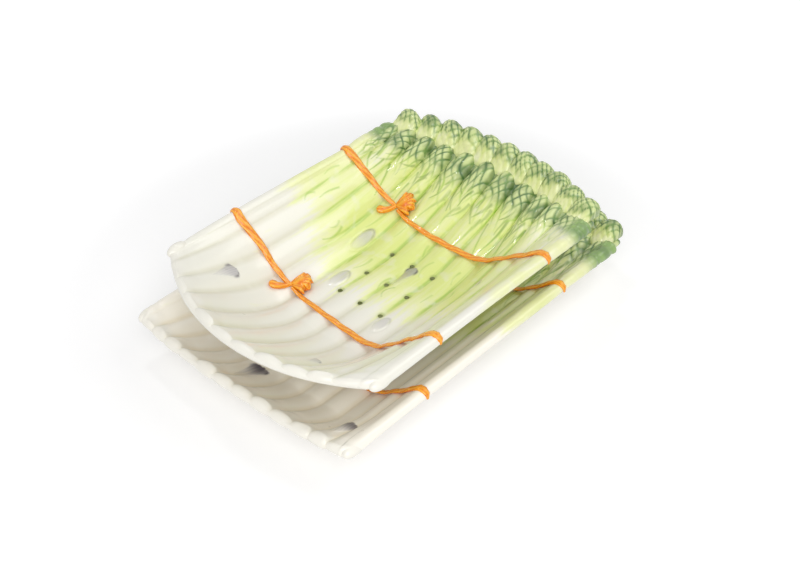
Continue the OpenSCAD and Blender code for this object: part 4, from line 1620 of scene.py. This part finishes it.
@dataclass(frozen=True)
class StalkGlaze(Glaze):
    """Clear glaze over hand-painted stalks: cream butts, lime brushwork and green scaled heads."""

    cream: Colour = srgb(240, 238, 226)
    # Painted shade: a darker cream laid into the grooves between the stalks, where shade falls.
    groove_painted_shade: Colour = srgb(222, 219, 198)
    lime_pale: Colour = srgb(238, 241, 178)
    lime: Colour = srgb(215, 228, 110)
    lime_deep: Colour = srgb(160, 196, 68)
    head_light: Colour = srgb(206, 219, 150)
    head: Colour = srgb(126, 164, 82)
    head_deep: Colour = srgb(52, 94, 42)
    bract: Colour = srgb(170, 166, 176)
    bract_deep: Colour = srgb(66, 58, 78)
    pooled: Colour = srgb(138, 154, 74)
    lip: Colour = srgb(240, 237, 226)
    roughness: float = 0.24
    lay_map: str = "Lay"
    brush: tuple[float, float] = (260.0, 26.0)
    mottle: float = 70.0
    pit_depth: float = 0.22 * MM
    coat: float = 0.5
    coat_roughness: float = 0.07

    def stem(self, g: ShaderGraph, brush: Socket, mottle: Socket, zone: Socket) -> Socket:
        """Cream butts that turn lime toward the heads, with painted shade and deeper lime in the grooves.

        Args:
            g: the material's graph.
            brush: the brush drift.
            mottle: the mottling.
            zone: 1 on the heads.

        Returns:
            The colour.
        """
        green, groove = g.value("green"), g.value("groove")
        deep = g.between(groove, 0.35, 1.0)
        # Painted shade: the cream darkens toward the groove colour in the grooves.
        ground = g.blend(g.times(deep, 0.75), self.cream, self.groove_painted_shade)
        ground = g.blend(g.between(g.value("along"), 0.034, 0.012, 0.0, 0.75), ground, self.lip)
        patchy = g.plus(g.times(green, 1.5), g.times(brush, 1.5))
        ground = g.blend(g.times(g.between(patchy, 0.95, 1.55), 0.9), ground, self.lime_pale)
        rich = g.between(g.plus(patchy, g.times(deep, 0.35)), 1.35, 2.35)
        ground = g.blend(g.times(rich, 0.7), ground, self.lime)
        seam = g.times(g.between(groove, 0.66, 0.97), g.between(green, 0.25, 0.8))
        ground = g.blend(g.times(seam, g.between(brush, 0.35, 0.62, 0.1, 0.8)), ground, self.lime_deep)
        pale = g.times(g.between(mottle, 0.52, 0.7), g.maths("SUBTRACT", 1.0, zone))
        return g.blend(g.times(pale, 0.35), ground, self.cream)

    def scaled_head(self, g: ShaderGraph, mottle: Socket) -> Socket:
        """Green scales, light on their pillows and dark in patches.

        Args:
            g: the material's graph.
            mottle: the mottling.

        Returns:
            The colour.
        """
        lit = g.between(g.plus(g.value("cell"), g.times(mottle, 0.8)), 0.55, 1.25)
        return g.blend(g.between(mottle, 0.56, 0.34, 0.0, 0.55), g.blend(lit, self.head, self.head_light),
                       self.head_deep)

    def paint(self, g: ShaderGraph, brush: Socket, mottle: Socket) -> tuple[Socket, Socket]:
        """Lays strokes, heads, scale lines, bracts and pools over the stems.

        Args:
            g: the material's graph.
            brush: the brush drift.
            mottle: the mottling.

        Returns:
            Colour and roughness.
        """
        zone = g.value("zone")
        brushed = g.blend(g.between(g.value("along"), 0.74, 0.86, 0.0, 0.65), self.lime_deep, self.head_deep)
        ink = g.blend(g.between(zone, 0.1, 0.9), self.lime_deep, self.head_deep)
        painted = self.stem(g, brush, mottle, zone)
        for share, colour in (
                (g.times(g.value("stroke"), g.between(brush, 0.3, 0.55, 0.45, 1.0)), brushed),
                (g.times(zone, 0.94), self.scaled_head(g, mottle)),
                (g.times(g.value("line"), g.between(brush, 0.25, 0.5, 0.65, 1.0)), ink),
                (g.times(g.value("grey"), 0.85), self.bract),
                (g.value("dark"), self.bract_deep),
                (g.times(g.value("pool"), 0.55), self.pooled)):
            painted = g.blend(share, painted, colour)
        return painted, g.plus(g.times(mottle, 0.12), self.roughness)


@dataclass(frozen=True)
class TieGlaze(Glaze):
    """Thick orange glaze on the ties, golden on the fibres and red in the furrows, with painted shade toward each
    cord's underside.
    """

    golden: Colour = srgb(252, 180, 46)
    orange: Colour = srgb(242, 146, 12)
    rust_red_and_shade: Colour = srgb(224, 98, 8)
    roughness: float = 0.19
    brush: tuple[float, float] = (300.0, 300.0)
    mottle: float = 130.0
    pits: float = 0.5
    coat: float = 0.3

    def paint(self, g: ShaderGraph, brush: Socket, mottle: Socket) -> tuple[Socket, Socket]:
        """Golden fibres with rust red in the furrows and in patches, and rust red as painted shade toward the
        underside of each cord.

        Args:
            g: the material's graph.
            brush: the brush drift.
            mottle: the mottling.

        Returns:
            Colour and roughness.
        """
        fibre = g.value("fibre")
        colour = g.blend(g.between(g.plus(fibre, mottle), 0.8, 1.6), self.orange, self.golden)
        # The crown share reddens the sides and underside of each cord: painted shade. The fibre and brush shares are
        # the glaze's own tone.
        for share in (g.between(fibre, 0.45, 0.05, 0.0, 0.8), g.between(g.value("crown"), 0.35, -0.3, 0.0, 0.6),
                      g.between(brush, 0.44, 0.3, 0.0, 0.5)):
            colour = g.blend(share, colour, self.rust_red_and_shade)
        return colour, g.plus(g.times(mottle, 0.15), self.roughness)


@dataclass(frozen=True)
class CreamGlaze(Glaze):
    """Plain glaze of the feet, the foot ring and the holes' walls, bare and sandy where a foot stands."""

    cream: Colour = srgb(238, 235, 220)
    shade: Colour = srgb(222, 217, 196)
    bare: Colour = srgb(214, 199, 172)
    stands_at: float = 0.0

    def paint(self, g: ShaderGraph, brush: Socket, mottle: Socket) -> tuple[Socket, Socket]:
        """Brushed cream, worn off in an uneven line where it stands.

        Args:
            g: the material's graph.
            brush: the brush drift.
            mottle: the mottling.

        Returns:
            Colour and roughness.
        """
        colour = g.blend(g.between(brush, 0.35, 0.65), self.cream, self.shade)
        place = g.node("ShaderNodeTexCoord").outputs["Object"]
        height = g.node("ShaderNodeSeparateXYZ", {"Vector": place}).outputs["Z"]
        worn = g.plus(height, g.times(mottle, 1.2 * MM))
        foot = g.between(worn, self.stands_at + 1.6 * MM, self.stands_at + 0.7 * MM)
        return g.blend(foot, colour, self.bare), g.plus(g.times(foot, 0.45), self.roughness, clamp=True)


# Room and camera

@dataclass(frozen=True)
class Lamp:
    """One round soft lamp that looks at the dish."""

    name: str
    watts: float
    size: float
    place: tuple[float, float, float]

    def build(self) -> None:
        """Adds the lamp."""
        lamp = bpy.data.lights.new(self.name, "AREA")
        lamp.energy, lamp.shape, lamp.size = self.watts, "DISK", self.size
        holder = shown(self.name, lamp)
        holder.location = self.place
        holder.rotation_euler = (Vector(LAMPS_LOOK_AT) - holder.location).to_track_quat("-Z", "Y").to_euler()


@dataclass
class Studio:
    """A pale floor, three soft lamps, white surroundings and the camera."""

    eye: tuple[float, float, float] = (454.22 * MM, -478.76 * MM, 588.2 * MM)
    heading: float = math.radians(43.25)
    pitch: float = math.radians(40.47)
    lens: float = 51.40
    sensor_w: float = 36.0
    clip_from: float = 0.01
    fill: float = 0.5
    lamps: tuple[Lamp, ...] = (
        Lamp("Soft box", 3.7, 0.9, (0.55, 0.75, 1.35)),
        Lamp("Front soft box", 12.2, 1.3, (0.85, -0.9, 0.98)),
        Lamp("Glint lamp", 1.1, 0.12, (-0.5, 0.15, 1.3)),
    )
    paper: Colour = (0.88, 0.88, 0.885)
    floor_half: float = 6.0
    near_glow: float = 0.21
    far_glow: float = 0.6
    glow_from: float = 0.24
    glow_to: float = 0.42

    def build(self) -> None:
        """Sets up the floor, the lamps, the world and the camera."""
        bpy.context.scene.view_settings.view_transform = "Standard"
        self.floor()
        for lamp in self.lamps:
            lamp.build()
        self.world()
        self.camera()

    def floor(self) -> None:
        """A wide pale floor that keeps the object's shadow and glows white further out."""
        mesh = bpy.data.meshes.new("floor")
        mesh.from_pydata([(x * self.floor_half, y * self.floor_half, 0)
                          for x, y in ((-1, -1), (1, -1), (1, 1), (-1, 1))], [], [(0, 1, 2, 3)])
        material = bpy.data.materials.new("Paper floor")
        g = emptied(material)
        plain = g.node("ShaderNodeBsdfDiffuse", {"Color": self.paper})
        place = g.node("ShaderNodeTexCoord").outputs["Object"]
        away = g.node("ShaderNodeVectorMath", {"Vector": place}, operation="LENGTH").outputs["Value"]
        level = g.between(away, self.glow_from, self.glow_to, self.near_glow, self.far_glow)
        glow = g.node("ShaderNodeEmission", {"Color": WHITE, "Strength": g.times(g.seen(), level)})
        both = g.node("ShaderNodeAddShader")
        for socket, part in zip(both.inputs, (plain, glow)):
            g.feed(socket, part.outputs[0])
        g.node("ShaderNodeOutputMaterial", {"Surface": both.outputs[0]})
        mesh.materials.append(material)
        shown("floor", mesh)

    def world(self) -> None:
        """Even white light from all round, which the camera sees as white."""
        world = bpy.data.worlds.new("Studio")
        bpy.context.scene.world = world
        g = emptied(world)
        strength = g.plus(g.times(g.seen(), 1.0 - self.fill), self.fill)
        sky = g.node("ShaderNodeBackground", {"Color": WHITE, "Strength": strength})
        g.node("ShaderNodeOutputWorld", {"Surface": sky.outputs[0]})

    def camera(self) -> None:
        """The camera, at the photograph's place, heading and lens."""
        lens = bpy.data.cameras.new("Camera")
        lens.lens, lens.sensor_width, lens.clip_start = self.lens, self.sensor_w, self.clip_from
        holder = shown("Camera", lens)
        right = Vector((math.cos(self.heading), math.sin(self.heading), 0))
        ahead = Vector((-math.sin(self.heading), math.cos(self.heading), 0)) * math.cos(self.pitch)
        ahead.z = -math.sin(self.pitch)
        turn = Matrix((right, right.cross(ahead), -ahead)).transposed().to_4x4()
        holder.matrix_world = Matrix.Translation(self.eye) @ turn
        bpy.context.scene.camera = holder


# The whole set

TRAY_MARKS = (
    BractMark(-19 * MM, -132 * MM, 28 * MM, 15 * MM, MarkKind.LEAF, 1.0, 0.9),
    BractMark(79 * MM, -134 * MM, 20 * MM, 15 * MM, MarkKind.LEAF, 0.85, 0.9),
)
DRAINER_MARKS = (
    BractMark(-69 * MM, -107 * MM, 22 * MM, 12 * MM, MarkKind.LEAF, 0.75),
    BractMark(-46 * MM, 9.7 * MM, 26 * MM, 10.5 * MM, MarkKind.OVAL, 0.9),
    BractMark(-28 * MM, -33 * MM, 21 * MM, 10.5 * MM, MarkKind.OVAL, 0.7),
    BractMark(6 * MM, 2 * MM, 27 * MM, 9.5 * MM, MarkKind.LEAF, 0.95),
    BractMark(30.5 * MM, -49 * MM, 18 * MM, 10 * MM, MarkKind.OVAL, 0.55),
    BractMark(37 * MM, -120.5 * MM, 12 * MM, 6 * MM, MarkKind.LEAF, 0.6),
    BractMark(68.5 * MM, 8 * MM, 22 * MM, 3 * MM, MarkKind.LEAF, 0.5),
)


@dataclass
class DrainHoles:
    """The holes through the drainer's floor, in rows between the stalks."""

    form: DishForm
    diameter: float = 3.6 * MM
    rows: tuple[float, ...] = (-41 * MM, -13 * MM, 15 * MM)
    grooves: tuple[int, ...] = (5, 6, 7)
    sides: int = 20
    flare: float = 1.12
    depth: float = 24 * MM
    stain_r: float = 2.6 * MM

    def places(self) -> tuple[tuple[float, float], ...]:
        """Places of the holes, across and along the dish."""
        return tuple((self.form.groove_s(k), y) for k in self.grooves for y in self.rows)

    def repaint(self, before: bpy.types.Mesh, after: bpy.types.Mesh) -> None:
        """Gives the points of a cut mesh the values of the nearest points before the cut.

        Args:
            before: the mesh before the cut.
            after: the mesh after it.
        """
        tree = KDTree(len(before.vertices))
        for vertex in before.vertices:
            tree.insert(vertex.co, vertex.index)
        tree.balance()
        nearest = np.array([tree.find(vertex.co)[1] for vertex in after.vertices])
        points = np.empty(len(after.vertices) * 3)
        after.vertices.foreach_get("co", points)
        points = points.reshape(-1, 3)
        for source in before.attributes:
            if source.data_type != "FLOAT" or source.domain != "POINT":
                continue
            value = np.empty(len(before.vertices), np.float32)
            source.data.foreach_get("value", value)
            value = value[nearest]
            if source.name == "pool":
                for s, y in self.places():
                    value = np.maximum(value, blot(points[:, 0] - self.form.side_x(s), points[:, 1] - y - 0.5 * MM,
                                                   self.stain_r))
            store(after, source.name, value)

    def cut(self, piece: bpy.types.Object, glaze: bpy.types.Material) -> None:
        """Cuts the holes through a piece and glazes their walls.

        Args:
            piece: the piece that they go through.
            glaze: finish of the holes' walls.
        """
        work = bmesh.new()
        for s, y in self.places():
            bmesh.ops.create_cone(work, cap_ends=True, segments=self.sides, radius1=self.diameter / 2,
                                  radius2=self.diameter / 2 * self.flare, depth=self.depth,
                                  matrix=Matrix.Translation(Vector(self.form.surface(s, y))))
        mesh = bpy.data.meshes.new("holes")
        mesh.materials.append(glaze)
        work.to_mesh(mesh)
        work.free()
        cutter = shown("holes", mesh)
        modifier = piece.modifiers.new("Holes", "BOOLEAN")
        modifier.operation, modifier.solver, modifier.object = "DIFFERENCE", "EXACT", cutter
        modifier.material_mode = "TRANSFER"
        made = worked_out(piece)
        piece.modifiers.clear()
        old, piece.data = piece.data, made
        self.repaint(old, made)
        bpy.data.meshes.remove(old)
        bpy.data.objects.remove(cutter)
        bpy.data.meshes.remove(mesh)


def joined(name: str, pieces: Sequence[bpy.types.Object]) -> bpy.types.Object:
    """Puts the meshes of several pieces into one object.

    Args:
        name: the new piece's name.
        pieces: the pieces, which are used up.

    Returns:
        The new piece.
    """
    with bpy.context.temp_override(active_object=pieces[0], selected_editable_objects=list(pieces)):
        bpy.ops.object.join()
    pieces[0].name = pieces[0].data.name = name
    return pieces[0]


def finish_piece(piece: bpy.types.Object, body: str, slot: str, *nodes: str) -> None:
    """Lets a piece ride on its body, hides the nodes that it stands for, and reports it.

    Args:
        piece: the piece.
        body: the body that it rides on.
        slot: not used.
        nodes: the nodes that it stands for.
    """
    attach(piece, body)
    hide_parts(*nodes)
    LOG.info("%s: %d faces on %s", piece.name, len(piece.data.polygons), body)


@dataclass
class ServingDish:
    """One dish of the set with its stalks, buds and ties."""

    name: str
    form: DishForm
    decoration: Decoration
    knob_relief: float
    lip_wrap: float
    far_calm: float
    bud_count: int
    tie_y: dict[str, float]

    def build(self, stalk: bpy.types.Material, tie: bpy.types.Material, tree: CordTree,
              holes: DrainHoles | None, hole_glaze: bpy.types.Material) -> None:
        """Makes and reports every piece of the dish.

        Args:
            stalk: finish of the painted clay.
            tie: finish of the ties.
            tree: the Geometry Nodes that wind cords.
            holes: the drain holes, where the dish has them.
            hole_glaze: finish of the holes' walls.
        """
        slab = DishBody(self.form, f"{self.name}_dish_glazed", self.decoration).build(stalk)
        if holes:
            holes.cut(slab, hole_glaze)
        finish_piece(slab, self.name, "cream_glaze", f"{self.name}_dish")
        row = StalkRow(self.form, self.name, self.decoration, self.knob_relief, self.lip_wrap, self.far_calm)
        for k in range(1, self.form.stalks + 1):
            piece = row.build(k, stalk)
            if row.rim_side(k):
                piece = joined(piece.name, [piece, row.corner_knob(row.rim_side(k), stalk)])
            if holes and holes.grooves[0] <= k <= holes.grooves[-1] + 1:
                holes.cut(piece, hole_glaze)
            finish_piece(piece, self.name, "stalk_glaze", f"{self.name}_stalk_{k:02d}")
        buds = BudRow(self.form, self.name, self.decoration, self.bud_count)
        made = [buds.build(k, stalk) for k in range(1, self.bud_count + 1)]
        if self.name == "tray":
            finish_piece(joined("tray_buds", made), "tray", "head_glaze", "tray_rim_heads")
        else:
            for k, piece in enumerate(made, 1):
                finish_piece(piece, self.name, "head_glaze", f"drainer_rim_head_{k:02d}")
        for i, (place, y) in enumerate(self.tie_y.items()):
            cords = Tie(self.form, f"{self.name}_{place}", y, self.far_calm, 3 + 7 * i)
            for piece, node in cords.build(tree, tie):
                finish_piece(piece, self.name, "tie_glaze", node)


def dress_feet(drift: bpy.types.NodeTree) -> None:
    """Gives the foot ring and the feet, which keep their own shapes, a glaze.

    Args:
        drift: the glazes' shared unevenness.
    """
    for node, stands_at in (("tray_foot_ring", 0.0), ("drainer_feet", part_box("drainer_feet")[0][2])):
        glaze = CreamGlaze(f"{node}_glaze", stands_at=float(stands_at)).material(drift)
        piece = bpy.data.objects[node]
        if not piece.material_slots:
            piece.data.materials.append(glaze)
        for slot in piece.material_slots:
            slot.material = glaze
        LOG.info("%s keeps its shape", node)


def main() -> None:
    """Builds the set, the room and the camera."""
    logging.basicConfig(level=logging.INFO, format="%(message)s")
    drift = glaze_drift_group()
    # The tray's cream is painted lighter than the drainer's. This is painted light that offsets the shade the drainer
    # casts into the tray.
    tray_glaze = StalkGlaze("Tray stalk glaze", cream=srgb(253, 248, 236), groove_painted_shade=srgb(240, 230, 207))
    drainer_glaze = StalkGlaze("Drainer stalk glaze")
    hole_glaze = CreamGlaze("Drain hole glaze", cream=srgb(206, 212, 160), shade=srgb(160, 168, 112), stands_at=-1.0)
    tie = TieGlaze("Orange tie glaze").material(drift)
    hole_wall = hole_glaze.material(drift)
    tree = CordTree()
    Studio().build()
    holes = DrainHoles(DRAINER_FORM)
    tray_paint = Decoration(TRAY_FORM, TRAY_MARKS, hand_strokes(TRAY_FORM, seed=21), seed=40, near_pale=0.45)
    tray = ServingDish("tray", TRAY_FORM, tray_paint, knob_relief=3.0 * MM, lip_wrap=math.radians(185), far_calm=0.0,
                       bud_count=12, tie_y={"front": -79.5 * MM, "rear": 70.5 * MM})
    drainer_paint = Decoration(DRAINER_FORM, DRAINER_MARKS, hand_strokes(DRAINER_FORM, seed=22, bare=2), seed=60,
                               near_pale=0.48, far_pale=0.3, pools=holes.places())
    drainer = ServingDish("drainer", DRAINER_FORM, drainer_paint, knob_relief=2.8 * MM, lip_wrap=math.radians(105),
                          far_calm=0.7, bud_count=11, tie_y={"front": -67.5 * MM, "rear": 47 * MM})
    tray.build(tray_glaze.material(drift), tie, tree, None, hole_wall)
    drainer.build(drainer_glaze.material(drift), tie, tree, holes, hole_wall)
    dress_feet(drift)


if __name__ == "__main__":
    main()
